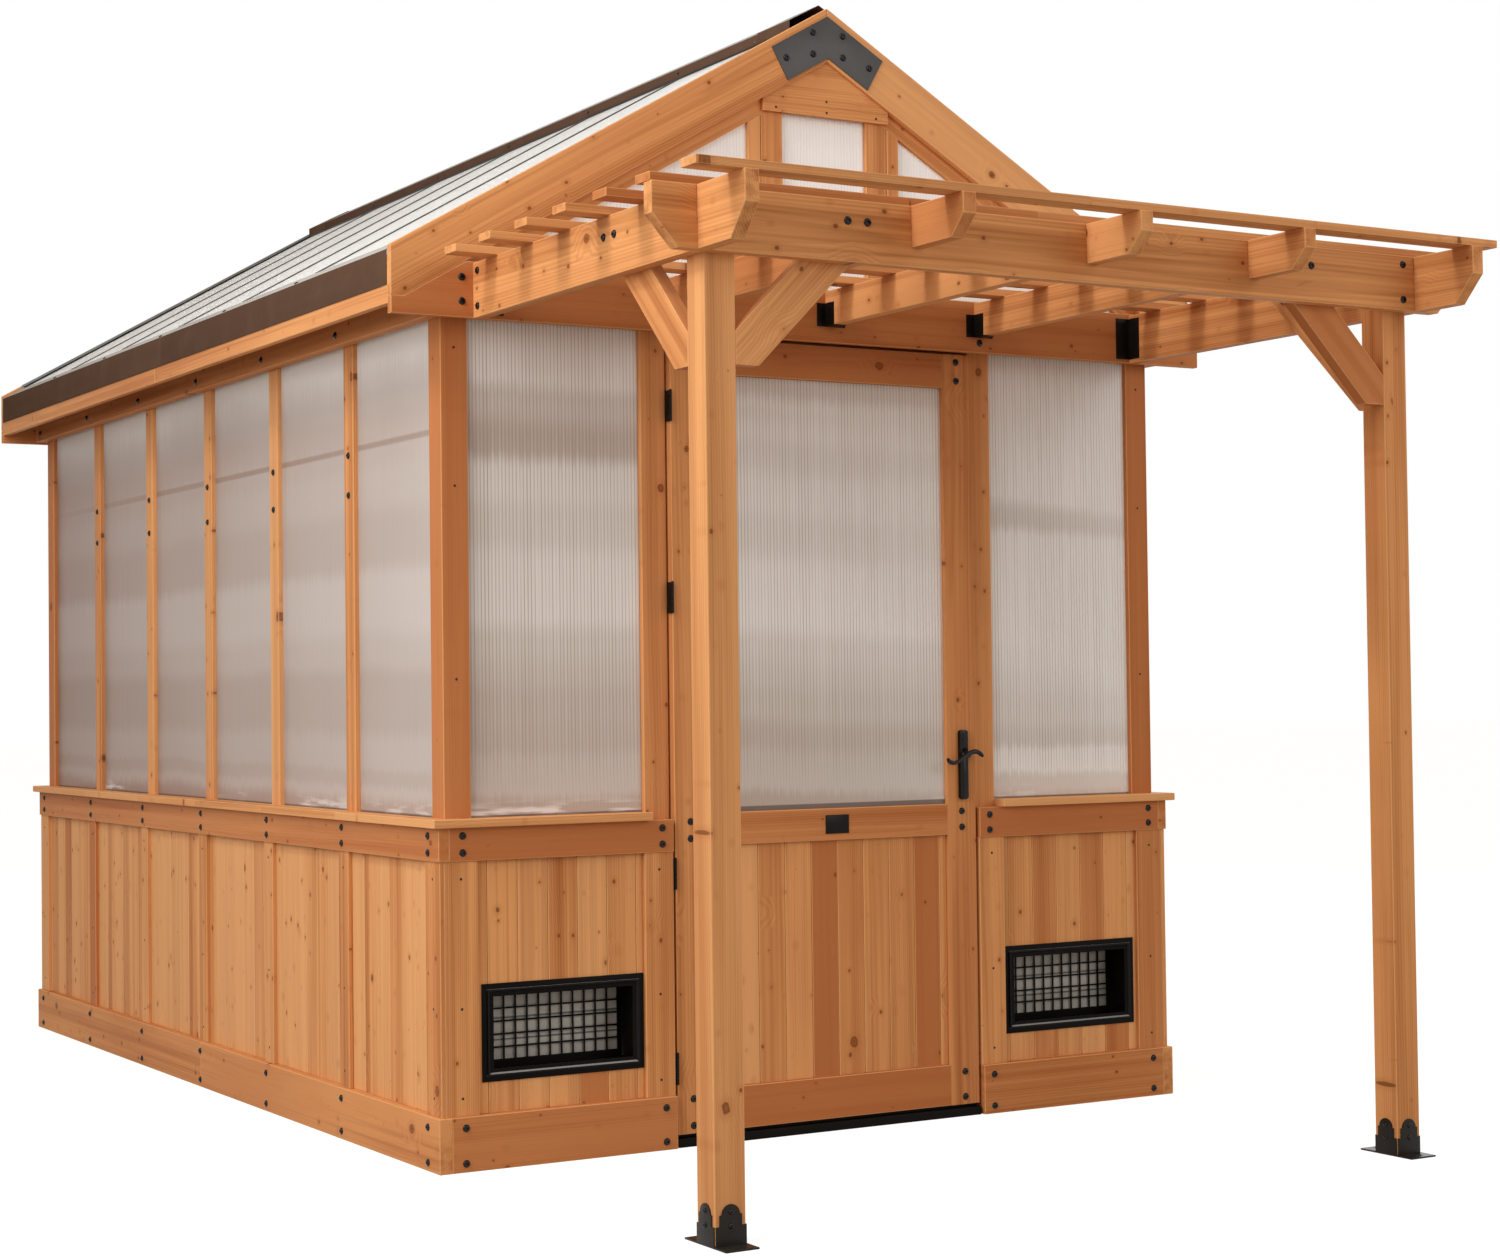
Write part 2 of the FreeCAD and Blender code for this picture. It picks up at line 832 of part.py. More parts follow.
def eave_flashings():
    # Bent metal edge: a flange up the roof sheet and a drop over the fascia, in two lengths.
    inner = fascia_x + seat_gap
    outer = inner + flashing_thickness
    flange_end = fascia_x - flashing_flange
    skin = flashing_thickness / slope_cos
    lift = seat_gap
    low = rafter_top(fascia_x) - flashing_drop
    outline = [
        (inner, low),
        (outer, low),
        (outer, pane_top(outer) + lift + skin),
        (flange_end, pane_top(flange_end) + lift + skin),
        (flange_end, pane_top(flange_end) + lift),
        (inner, pane_top(inner) + lift),
    ]
    start = header_front + flashing_end_gap
    end = header_rear - flashing_end_gap
    joint = start + (end - start) * flashing_joint_share
    near = prism_y(outline, start, joint - board_joint / 2)
    far = prism_y(outline, joint + board_joint / 2, end)
    return both_sides([near, far])


def cap_section(lift):
    # Folded ridge metal: two flanges a little flatter than the roof, with lips turned down onto the sheet.
    stretch = math.sqrt(1 + cap_fall * cap_fall)
    outer = cap_half_width + lift
    inner = outer - cap_thickness
    lip_foot = pane_top(outer) + seat_gap
    inner_foot = pane_top(inner) + seat_gap
    peak = pane_top(cap_half_width) + seat_gap + cap_lip + cap_fall * cap_half_width + lift * stretch
    shoulder = peak - cap_fall * outer
    under_peak = peak - cap_thickness * stretch
    inner_shoulder = under_peak - cap_fall * inner
    outside = [(outer, lip_foot), (outer, shoulder), (0, peak), (-outer, shoulder), (-outer, lip_foot)]
    inside = [
        (-inner, inner_foot),
        (-inner, inner_shoulder),
        (0, under_peak),
        (inner, inner_shoulder),
        (inner, inner_foot),
    ]
    return outside + inside


def ridge_cap():
    start = header_front + cap_setback
    end = header_rear - seat_gap
    main_start = start + cap_end_length - cap_lap
    main_end = end - cap_end_length + cap_lap
    main = prism_y(cap_section(0), main_start, main_end)
    near = prism_y(cap_section(cap_lap_lift), start, start + cap_end_length)
    far = prism_y(cap_section(cap_lap_lift), end - cap_end_length, end)
    return [main, near, far]


def rear_rake_trims():
    inner = cap_half_width + cap_lap_lift + seat_gap
    outer = fascia_x - flashing_flange - strip_eave_gap
    flange = trim_thickness / slope_cos
    rise = trim_rise / slope_cos
    flange_outline = [
        (inner, pane_top(inner)),
        (outer, pane_top(outer)),
        (outer, pane_top(outer) + flange),
        (inner, pane_top(inner) + flange),
    ]
    upright_outline = [
        (inner, pane_top(inner)),
        (outer, pane_top(outer)),
        (outer, pane_top(outer) + rise),
        (inner, pane_top(inner) + rise),
    ]
    foot = prism_y(flange_outline, header_rear - trim_width, header_rear)
    upright = prism_y(upright_outline, header_rear - trim_thickness, header_rear)
    return both_sides([foot.fuse(upright).removeSplitter()])


# Pergola porch
def pergola_posts():
    return both_sides([box(post_inner, post_outer, post_front, post_back, foot_plate_thickness, beam_top)])


def post_base_brackets():
    half_post = pergola_post / 2
    face = half_post + foot_ear_thickness
    half_plate = half_post + foot_flange
    plate = box(-face, face, -half_plate, half_plate, 0, foot_plate_thickness)
    hole_y = half_plate - foot_hole_edge
    for y in (-hole_y, hole_y):
        plate = plate.cut(Part.makeCylinder(foot_hole_radius, foot_plate_thickness, Vector(0, y, 0)))
    skirt_top = foot_plate_thickness + foot_ear_skirt
    shoulder = foot_plate_thickness + foot_ear_shoulder
    half_skirt = half_post - foot_ear_corner_gap
    skirt = box(-half_skirt, half_skirt, -face, -half_post, foot_plate_thickness, skirt_top)
    tab = box(-foot_ear_width / 2, foot_ear_width / 2, -face, -half_post, skirt_top, shoulder)
    round_centre = Vector(0, -half_post, shoulder)
    crown = Part.makeCylinder(foot_ear_top_radius, foot_ear_thickness, round_centre, front_way)
    crown = crown.common(
        box(-half_post, half_post, -face, -half_post, shoulder, shoulder + foot_ear_top_radius)
    )
    ear = skirt.fuse([tab, crown])
    bracket = plate
    for turn in range(4):
        turned = ear.copy()
        turned.rotate(Vector(0, 0, 0), Vector(0, 0, 1), 90 * turn)
        bracket = bracket.fuse(turned)
    bracket = bracket.removeSplitter()
    bracket.translate(Vector(foot_x, foot_y, 0))
    return both_sides([bracket])


def lap_level(depth):
    return beam_top - depth / 2


def pergola_side_beams():
    tail = beam_end + beam_chamfer_run
    outline = [
        (ledger_front, beam_bottom),
        (ledger_front, beam_top),
        (beam_end, beam_top),
        (beam_end, beam_bottom + beam_chamfer_rise),
        (tail, beam_bottom),
    ]
    beam = prism_x(outline, post_outer, beam_outer)
    level = lap_level(beam_depth) + seat_gap
    notch = box(post_outer, beam_outer, front_beam_face - seat_gap, post_front + seat_gap, beam_bottom, level)
    return both_sides([beam.cut(notch)])


def pergola_front_beam():
    half = beam_outer + beam_side_tail
    outline = [
        (-half + beam_chamfer_run, beam_bottom),
        (half - beam_chamfer_run, beam_bottom),
        (half, beam_bottom + beam_chamfer_rise),
        (half, beam_top),
        (-half, beam_top),
        (-half, beam_bottom + beam_chamfer_rise),
    ]
    beam = prism_y(outline, front_beam_face, post_front)
    side_level = lap_level(beam_depth)
    notch = box(
        post_outer - seat_gap, beam_outer + seat_gap, front_beam_face, post_front, side_level, beam_top
    )
    beam = beam.cut([notch, mirrored(notch)])
    half_rafter = porch_rafter_thickness / 2 + seat_gap
    level = lap_level(porch_rafter_depth)
    for x in porch_rafter_lines():
        beam = beam.cut(box(x - half_rafter, x + half_rafter, front_beam_face, post_front, level, beam_top))
    return [beam]


def porch_rafter_lines():
    return [-porch_rafter_pitch, 0, porch_rafter_pitch]


def pergola_rafters():
    low = beam_top - porch_rafter_depth
    outline = [
        (ledger_front, low),
        (ledger_front, beam_top),
        (beam_end, beam_top),
        (beam_end, low + porch_rafter_chamfer),
        (beam_end + porch_rafter_chamfer, low),
    ]
    level = lap_level(porch_rafter_depth) + seat_gap
    rafters = []
    for x in porch_rafter_lines():
        left = x - porch_rafter_thickness / 2
        right = x + porch_rafter_thickness / 2
        rafter = prism_x(outline, left, right)
        notch = box(left, right, front_beam_face - seat_gap, post_front + seat_gap, low, level)
        rafters.append(rafter.cut(notch))
    return rafters


def pergola_slats():
    left = -beam_outer - slat_left_overhang
    right = beam_outer + slat_right_overhang
    half_joint = board_joint / 2
    slat_room = ledger_front - beam_end - slat_first - slat_width / 2
    slats = []
    for row in range(int(slat_room / slat_pitch) + 1):
        middle = ledger_front - slat_first - slat_pitch * row
        near = middle - slat_width / 2
        far = middle + slat_width / 2
        slats.append(box(left, -slat_joint - half_joint, near, far, beam_top, beam_top + slat_thickness))
        slats.append(box(-slat_joint + half_joint, right, near, far, beam_top, beam_top + slat_thickness))
    return slats


def brace_outline():
    # Distances from the post face and heights, for a brace at 45 degrees with a level toe.
    top = beam_top - brace_top_gap
    heel = top - brace_reach
    toe = heel - brace_toe
    toe_run = brace_across - brace_toe
    return [(0, toe), (toe_run, toe), (brace_reach + brace_across, top), (brace_reach, top), (0, heel)]


def knee_braces():
    front_outline = [(post_inner - run, z) for run, z in brace_outline()]
    side_outline = [(post_back + run, z) for run, z in brace_outline()]
    front = prism_y(front_outline, post_front, post_front + brace_thickness)
    side = prism_x(side_outline, post_outer - brace_thickness, post_outer)
    return both_sides([front, side])


def pergola_brackets():
    # Joist hangers carry the rafters on the ledger; angles tie the side beams to it.
    low = beam_top - porch_rafter_depth
    half = porch_rafter_thickness / 2
    outer = half + hanger_thickness
    bottom = low - hanger_thickness
    top = bottom + hanger_height
    front = ledger_front - hanger_depth
    brackets = []
    for x in porch_rafter_lines():
        seat = box(x - outer, x + outer, front, ledger_front, bottom, low)
        left = box(x - outer, x - half, front, ledger_front, bottom, top)
        right = box(x + half, x + outer, front, ledger_front, bottom, top)
        face = ledger_front - hanger_thickness
        left_flange = box(x - outer - hanger_flange, x - outer, face, ledger_front, bottom, top)
        right_flange = box(x + outer, x + outer + hanger_flange, face, ledger_front, bottom, top)
        brackets.append(seat.fuse([left, right, left_flange, right_flange]).removeSplitter())
    inner = post_outer - angle_leg
    low_edge = beam_bottom + angle_inset
    high_edge = beam_top - angle_inset
    back_leg = box(inner, post_outer, ledger_front - angle_thickness, ledger_front, low_edge, high_edge)
    side_leg = box(
        post_outer - angle_thickness, post_outer, ledger_front - angle_leg, ledger_front, low_edge, high_edge
    )
    angle = back_leg.fuse(side_leg).removeSplitter()
    return brackets + both_sides([angle])


# Shelf inside the left wall
def wall_shelf():
    wall = -(frame_x - stud_depth)
    near = frame_front + corner_post
    far = frame_rear - corner_post
    board = box(wall, wall + shelf_depth, near, far, shelf_height, shelf_height + shelf_thickness)
    outline = [
        (wall, shelf_height - shelf_bracket_drop), (wall + shelf_depth, shelf_height), (wall, shelf_height)
    ]
    half = shelf_bracket_thickness / 2
    brackets = [prism_y(outline, line - half, line + half) for line in stud_lines[1:-1]]
    return [board] + brackets


# Wall vents
def vent_frames():
    half_flange = vent_flange_width / 2
    flange_low = vent_height - vent_flange_height / 2
    flange_high = vent_height + vent_flange_height / 2
    left = vent_x - half_flange
    right = vent_x + half_flange
    border = vent_flange_border
    flange = box(left, right, flange_front, siding_front, flange_low, flange_high)
    opening = box(
        left + border, right - border, flange_front, siding_front, flange_low + border, flange_high - border
    )
    flange = flange.cut(opening)
    sleeve_half = sleeve_width / 2
    inner_half = sleeve_inner_width / 2
    back = siding_front + vent_sleeve_depth
    half_height = sleeve_height / 2
    inner_height = sleeve_inner_height / 2
    sleeve = box(
        vent_x - sleeve_half, vent_x + sleeve_half, siding_front, back,
        vent_height - half_height, vent_height + half_height,
    )
    bore = box(
        vent_x - inner_half, vent_x + inner_half, siding_front, back,
        vent_height - inner_height, vent_height + inner_height,
    )
    frame = flange.fuse(sleeve.cut(bore)).removeSplitter()
    for row in range(louvre_count):
        start = Vector(vent_x - sleeve_half, louvre_y, louvre_pivot(row))
        frame = frame.cut(Part.makeCylinder(louvre_pin_radius + running_gap, sleeve_width, start, right_way))
    return both_sides([frame])


def rectangle_wire(left, right, y, low, high):
    corners = [Vector(left, y, low), Vector(right, y, low), Vector(right, y, high), Vector(left, y, high)]
    return Part.makePolygon(corners + corners[:1])


def vent_grilles():
    half_width = sleeve_inner_width / 2 - seat_gap
    half_height = sleeve_inner_height / 2 - seat_gap
    outer = rectangle_wire(
        vent_x - half_width, vent_x + half_width, grille_y,
        vent_height - half_height, vent_height + half_height,
    )
    face = Part.Face(outer)
    cell = grille_pitch - grille_bar
    first_x = vent_x - grille_pitch * (grille_columns - 1) / 2 - cell / 2
    first_z = vent_height - grille_pitch * (grille_rows - 1) / 2 - cell / 2
    plate = face.extrude(Vector(0, grille_thickness, 0))
    cells = []
    for column in range(grille_columns):
        for row in range(grille_rows):
            x = first_x + grille_pitch * column
            z = first_z + grille_pitch * row
            cells.append(box(x, x + cell, grille_y, grille_y + grille_thickness, z, z + cell))
    return both_sides([plate.cut(cells)])


def louvre_pivot(row):
    return vent_height + louvre_pitch * (louvre_count / 2 - row) - louvre_lip


def louvre_blade(row):
    pivot = louvre_pivot(row)
    half = sleeve_inner_width / 2 - louvre_end_gap
    low = pivot + louvre_lip - louvre_pitch + louvre_gap
    near = louvre_y - louvre_thickness / 2
    far = louvre_y + louvre_thickness / 2
    blade = box(vent_x - half, vent_x + half, near, far, low, pivot + louvre_lip)
    pin_start = Vector(vent_x - sleeve_width / 2, louvre_y, pivot)
    pin = Part.makeCylinder(louvre_pin_radius, sleeve_width, pin_start, right_way)
    return blade.fuse(pin).removeSplitter()


# Doorway
def threshold():
    half = opening_half - threshold_end_gap
    return [box(-half, half, threshold_setback, threshold_setback + threshold_depth, 0, threshold_height)]


def door_frame():
    left = box(-door_half, -stile_inner, door_front, door_back, door_bottom, door_top)
    right = box(stile_inner, door_half, door_front, door_back, door_bottom, door_top)
    hole_start = Vector(latch_x, door_front, latch_height)
    right = right.cut(
        Part.makeCylinder(spindle_radius + spindle_hole_gap, door_thickness, hole_start, rear_way)
    )
    pocket_start = door_half + latch_bolt_nose - latch_bolt_length - latch_travel - seat_gap
    right = right.cut(
        box(
            pocket_start,
            door_half,
            latch_bolt_y - seat_gap,
            latch_bolt_y + latch_bolt_depth + seat_gap,
            latch_height - latch_bolt_height / 2 - seat_gap,
            latch_height + latch_bolt_height / 2 + seat_gap,
        )
    )
    rails = [
        box(-stile_inner, stile_inner, door_front, door_back, door_bottom, bottom_rail_top),
        box(-stile_inner, stile_inner, door_front, door_back, mid_rail_bottom, mid_rail_top),
        box(-stile_inner, stile_inner, door_front, door_back, door_top - top_rail_height, door_top),
    ]
    return [left, right] + rails


def door_boards():
    near = door_front + door_board_recess
    edges = [-stile_inner]
    edge = -stile_inner + door_board_first
    while edge < stile_inner - board_joint:
        edges.append(edge)
        edge += door_board_pitch
    edges.append(stile_inner)
    half_joint = board_joint / 2
    boards = []
    for left, right in zip(edges[:-1], edges[1:]):
        boards.append(
            box(
                left + half_joint, right - half_joint, near, near + siding_thickness,
                bottom_rail_top, mid_rail_bottom,
            )
        )
    return boards


def door_pane():
    near = door_front + pane_recess
    half = stile_inner - pane_gap
    high = door_top - top_rail_height - pane_gap
    return [box(-half, half, near, near + pane_thickness, mid_rail_top + pane_gap, high)]


def door_sweep():
    middle = (door_front + door_back) / 2
    near = middle - sweep_depth / 2
    far = middle + sweep_depth / 2
    return [box(-door_half, door_half, near, far, door_bottom - sweep_height, door_bottom)]


def name_plate():
    middle_z = mid_rail_bottom + (mid_rail_height + name_plate_height) / 2
    left = name_plate_offset - name_plate_width / 2
    return [
        box(
            left,
            left + name_plate_width,
            door_front - name_plate_thickness,
            door_front,
            middle_z - name_plate_height,
            middle_z,
        )
    ]


# Hinges: a frame leaf with three knuckles, a door leaf with two, and the pin through all of them
def knuckle_span(bottom, index):
    height = (hinge_height - knuckle_gap * (knuckle_count - 1)) / knuckle_count
    low = bottom + (height + knuckle_gap) * index
    return low, low + height


def hinge_leaf(bottom, leaf_left, own_parity):
    leaf = box(
        leaf_left, leaf_left + hinge_leaf_thickness, hinge_y, hinge_y + hinge_leaf_depth,
        bottom, bottom + hinge_height,
    )
    for index in range(knuckle_count):
        low, high = knuckle_span(bottom, index)
        if index % 2 == own_parity:
            leaf = leaf.fuse(Part.makeCylinder(knuckle_radius, high - low, Vector(hinge_x, hinge_y, low)))
        else:
            room = Part.makeCylinder(
                knuckle_radius + seat_gap,
                high - low + 2 * knuckle_gap,
                Vector(hinge_x, hinge_y, low - knuckle_gap),
            )
            leaf = leaf.cut(room)
    bore_radius = hinge_pin_radius + running_gap
    bore = Part.makeCylinder(bore_radius, hinge_height, Vector(hinge_x, hinge_y, bottom))
    return leaf.cut(bore).removeSplitter()


def frame_hinges():
    leaves = [hinge_leaf(bottom, -opening_half, 0) for bottom in hinge_bottoms]
    return leaves + hinge_pins()


def door_hinges():
    return [hinge_leaf(bottom, -door_half - hinge_leaf_thickness, 1) for bottom in hinge_bottoms]


def hinge_pins():
    pins = []
    for bottom in hinge_bottoms:
        shaft = Part.makeCylinder(hinge_pin_radius, hinge_height, Vector(hinge_x, hinge_y, bottom))
        head = Part.makeCylinder(
            pin_head_radius, pin_head_height, Vector(hinge_x, hinge_y, bottom + hinge_height)
        )
        pins.append(shaft.fuse(head).removeSplitter())
    return pins


# Latch
def latch_plates():
    low = latch_height - latch_plate_drop
    half = latch_plate_width / 2
    plates = []
    for near in (door_front - latch_plate_thickness, door_back):
        plate = box(
            latch_x - half, latch_x + half, near, near + latch_plate_thickness, low, low + latch_plate_height
        )
        upright = [edge for edge in plate.Edges if abs(edge.tangentAt(edge.FirstParameter).y) > 0.5]
        plate = plate.makeFillet(min(latch_plate_corner, half - board_joint), upright)
        hole_start = Vector(latch_x, near, latch_height)
        hole = Part.makeCylinder(spindle_radius + running_gap, latch_plate_thickness, hole_start, rear_way)
        plates.append(plate.cut(hole))
    return plates


def lever_arm(near):
    # A waved bar from the hub towards the hinge side, seen from the front.
    steps = 16
    upper = []
    lower = []
    for step in range(steps + 1):
        share = step / steps
        x = latch_x - lever_length * share
        height = lever_root_height + (lever_tip_height - lever_root_height) * share
        wave = lever_tip_height / 3 * math.sin(2 * math.pi * share)
        upper.append((x, latch_height + wave + height / 2))
        lower.append((x, latch_height + wave - height / 2))
    return prism_y(upper + list(reversed(lower)), near, near + lever_thickness)


def door_levers():
    plate_front = door_front - latch_plate_thickness
    plate_back = door_back + latch_plate_thickness
    spindle_start = plate_front - lever_standoff
    spindle_end = plate_back + lever_standoff
    lever = Part.makeCylinder(
        spindle_radius, spindle_end - spindle_start, Vector(latch_x, spindle_start, latch_height), rear_way
    )
    hub_length = lever_standoff - seat_gap
    front_hub = Part.makeCylinder(
        lever_hub_radius, hub_length, Vector(latch_x, spindle_start, latch_height), rear_way
    )
    back_hub = Part.makeCylinder(
        lever_hub_radius, hub_length, Vector(latch_x, plate_back + seat_gap, latch_height), rear_way
    )
    front_arm = lever_arm(spindle_start)
    back_arm = lever_arm(spindle_end - lever_thickness)
    return [lever.fuse([front_hub, back_hub, front_arm, back_arm]).removeSplitter()]


def latch_bolt():
    nose = door_half + latch_bolt_nose
    half = latch_bolt_height / 2
    far = latch_bolt_y + latch_bolt_depth
    return [box(nose - latch_bolt_length, nose, latch_bolt_y, far, latch_height - half, latch_height + half)]


def strike_plate():
    left = opening_half - strike_thickness
    half = strike_height / 2
    far = frame_front + strike_width
    return [box(left, opening_half, frame_front, far, latch_height - half, latch_height + half)]


# Fastener heads
def wall_bolts():
    base_levels = [bolt_edge - bolt_rise, base_height - bolt_edge]
    rail_levels = [rail_bottom + rail_bolt_edge, rail_top - rail_bolt_edge]
    plate_level = plate_bottom + bolt_edge
    rail_front = frame_front - rail_thickness
    rail_rear = frame_rear + rail_thickness
    heads = []
    for line in stud_lines:
        places = [(house_width / 2, z) for z in base_levels]
        places += [(frame_x + rail_thickness, z) for z in rail_levels]
        places.append((frame_x + plate_thickness, plate_level))
        for x, z in places:
            heads.append(dome((x, line, z), right_way, bolt_radius, bolt_rise))
            heads.append(dome((-x, line, z), left_way, bolt_radius, bolt_rise))
    for x in (-post_line, -jamb_line, jamb_line, post_line):
        for z in base_levels:
            heads.append(dome((x, 0, z), front_way, bolt_radius, bolt_rise))
        for z in rail_levels:
            heads.append(dome((x, rail_front, z), front_way, bolt_radius, bolt_rise))
    for x in rear_lines:
        for z in base_levels:
            heads.append(dome((x, house_length, z), rear_way, bolt_radius, bolt_rise))
        for z in rail_levels:
            heads.append(dome((x, rail_rear, z), rear_way, bolt_radius, bolt_rise))
    return heads


def shelf_bolts():
    heads = []
    for line in stud_lines[1:-1]:
        for below in (shelf_bolt_first, shelf_bolt_second):
            heads.append(dome((-frame_x, line, shelf_height - below), left_way, bolt_radius, bolt_rise))
    return heads


def ledger_bolts():
    low = ledger_bottom + bolt_edge
    places = [
        (post_line, low + bolt_edge / 2), (post_line, ledger_top - 1.5 * bolt_edge), (porch_rafter_pitch, low)
    ]
    heads = []
    for x, z in places:
        for side in (-x, x):
            heads.append(dome((side, ledger_front, z), front_way, bolt_radius, bolt_rise))
            heads.append(dome((side, ledger_rear, z), rear_way, bolt_radius, bolt_rise))
    return heads


def gusset_bolts():
    middle = rake_apex - gusset_top_gap - gusset_depth / slope_cos / 2 + gusset_bolt_lift
    places = []
    for share, way in ((0.27, -1), (0.27, 1), (0.75, 0)):
        x = gusset_length * share
        z = middle - slope * x + way * gusset_bolt_spread
        places.append((x, z))
        places.append((-x, z))
    heads = []
    for x, z in places:
        heads.append(dome((x, ledger_front - gusset_thickness, z), front_way, bolt_radius, bolt_rise))
        heads.append(dome((x, ledger_rear + gusset_thickness, z), rear_way, bolt_radius, bolt_rise))
    return heads


def pergola_bolts():
    # Pairs through the braces, and pairs at the beam ends.
    brace_runs = [brace_reach + brace_across * share for share in (-0.22, 0.17)]
    brace_level = beam_top - brace_width / 2
    end_levels = [beam_bottom + bolt_edge, beam_top - bolt_edge + bolt_rise]
    heads = []
    front_places = [(post_inner - run, brace_level) for run in brace_runs]
    front_places += [(foot_x, z) for z in end_levels]
    for x, z in front_places:
        for side in (-x, x):
            heads.append(dome((side, front_beam_face, z), front_way, bolt_radius, bolt_rise))
    side_places = [(post_back + run, brace_level) for run in brace_runs]
    side_places += [(ledger_front - bolt_edge, z) for z in end_levels]
    for y, z in side_places:
        heads.append(dome((beam_outer, y, z), right_way, bolt_radius, bolt_rise))
        heads.append(dome((-beam_outer, y, z), left_way, bolt_radius, bolt_rise))
    return heads


def foot_bolts():
    face = pergola_post / 2 + foot_ear_thickness
    levels = [
        foot_plate_thickness + foot_ear_skirt, foot_plate_thickness + foot_ear_shoulder + small_bolt_radius
    ]
    heads = []
    for x in (-foot_x, foot_x):
        for z in levels:
            heads.append(dome((x, foot_y - face, z), front_way, small_bolt_radius, small_bolt_rise))
            heads.append(dome((x, foot_y + face, z), rear_way, small_bolt_radius, small_bolt_rise))
            heads.append(dome((x - face, foot_y, z), left_way, small_bolt_radius, small_bolt_rise))
            heads.append(dome((x + face, foot_y, z), right_way, small_bolt_radius, small_bolt_rise))
    return heads


def vent_screws():
    column = vent_flange_width / 2 - vent_flange_border / 2
    row = vent_flange_height / 2 - vent_flange_border / 2
    heads = []
    for centre in (-vent_x, vent_x):
        for x in (centre - column, centre, centre + column):
            for z in (vent_height - row, vent_height + row):
                heads.append(dome((x, flange_front, z), front_way, screw_radius, screw_rise))
    return heads


def roof_screws():
    # Screws through the eave flashing's flange, one at each roof rafter.
    edge = fascia_x - flashing_screw_inset
    skin = flashing_thickness / slope_cos
    level = pane_top(edge) + seat_gap + skin
    normal = Vector(math.sin(math.radians(roof_pitch)), 0, slope_cos)
    heads = []
    for line in stud_lines[1:-1]:
        head = dome((edge, line, level), normal, small_bolt_radius, small_bolt_rise)
        heads.extend([head, mirrored(head)])
    return heads


def frame_bolts():
    house = wall_bolts() + shelf_bolts() + ledger_bolts() + gusset_bolts()
    return house + pergola_bolts() + foot_bolts() + vent_screws() + roof_screws()


def door_bolts():
    levels = []
    for low, height in (
        (door_bottom, bottom_rail_height),
        (mid_rail_bottom, mid_rail_height),
        (door_top - top_rail_height, top_rail_height),
    ):
        levels += [low + rail_bolt_edge, low + height - rail_bolt_edge]
    heads = []
    for x in (-stile_line, stile_line):
        for z in levels:
            heads.append(dome((x, door_front, z), front_way, bolt_radius, bolt_rise))
    return heads


os.makedirs("parts", exist_ok=True)
save("base_boards", base_boards())
save("corner_posts", corner_posts())
save("wall_studs", wall_studs())
save("door_jambs", door_jambs())
save("belt_rails", belt_rails())
save("sill_ledges", sill_ledges())
save("window_rails", window_rails())
save("side_panes", side_panes())
save("front_panes", front_panes())
save("rear_panes", rear_panes())
save("top_plates", top_plates())
save("side_siding", side_siding())
save("front_siding", front_siding())
save("rear_siding", rear_siding())
save("siding_battens", siding_battens())
save("gable_ledgers", gable_ledgers())
save("rake_boards", rake_boards())
save("gable_rafters", gable_rafters())
save("gable_frames", gable_frames())
save("gable_panes", gable_panes())
save("gusset_plates", gusset_plates())
save("roof_rafters", roof_rafters())
save("ridge_beam", ridge_beam())
save("roof_panes", roof_panes())
save("roof_joint_strips", roof_joint_strips())
save("eave_fascias", eave_fascias())
save("eave_flashings", eave_flashings())
save("ridge_cap", ridge_cap())
save("rear_rake_trims", rear_rake_trims())
save("pergola_posts", pergola_posts())
save("post_base_brackets", post_base_brackets())
save("pergola_side_beams", pergola_side_beams())
save("pergola_front_beam", pergola_front_beam())
save("pergola_rafters", pergola_rafters())
save("pergola_slats", pergola_slats())
save("knee_braces", knee_braces())
save("pergola_brackets", pergola_brackets())
save("wall_shelf", wall_shelf())
save("vent_frames", vent_frames())
save("vent_grilles", vent_grilles())
for louvre_row in range(louvre_count):
    blade = louvre_blade(louvre_row)
    save("louvre_right_" + str(louvre_row + 1), [blade])
    save("louvre_left_" + str(louvre_row + 1), [mirrored(blade)])
save("threshold", threshold())
save("frame_bolts", frame_bolts())
save("strike_plate", strike_plate())
save("frame_hinges", frame_hinges())
save("door_frame", door_frame())
save("door_boards", door_boards())
save("door_pane", door_pane())
save("door_sweep", door_sweep())
save("door_bolts", door_bolts())
save("name_plate", name_plate())
save("door_hinges", door_hinges())
save("latch_plates", latch_plates())
save("door_levers", door_levers())
save("latch_bolt", latch_bolt())
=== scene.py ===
import math
import random

import bmesh
import bpy
from mathutils import Matrix, Vector


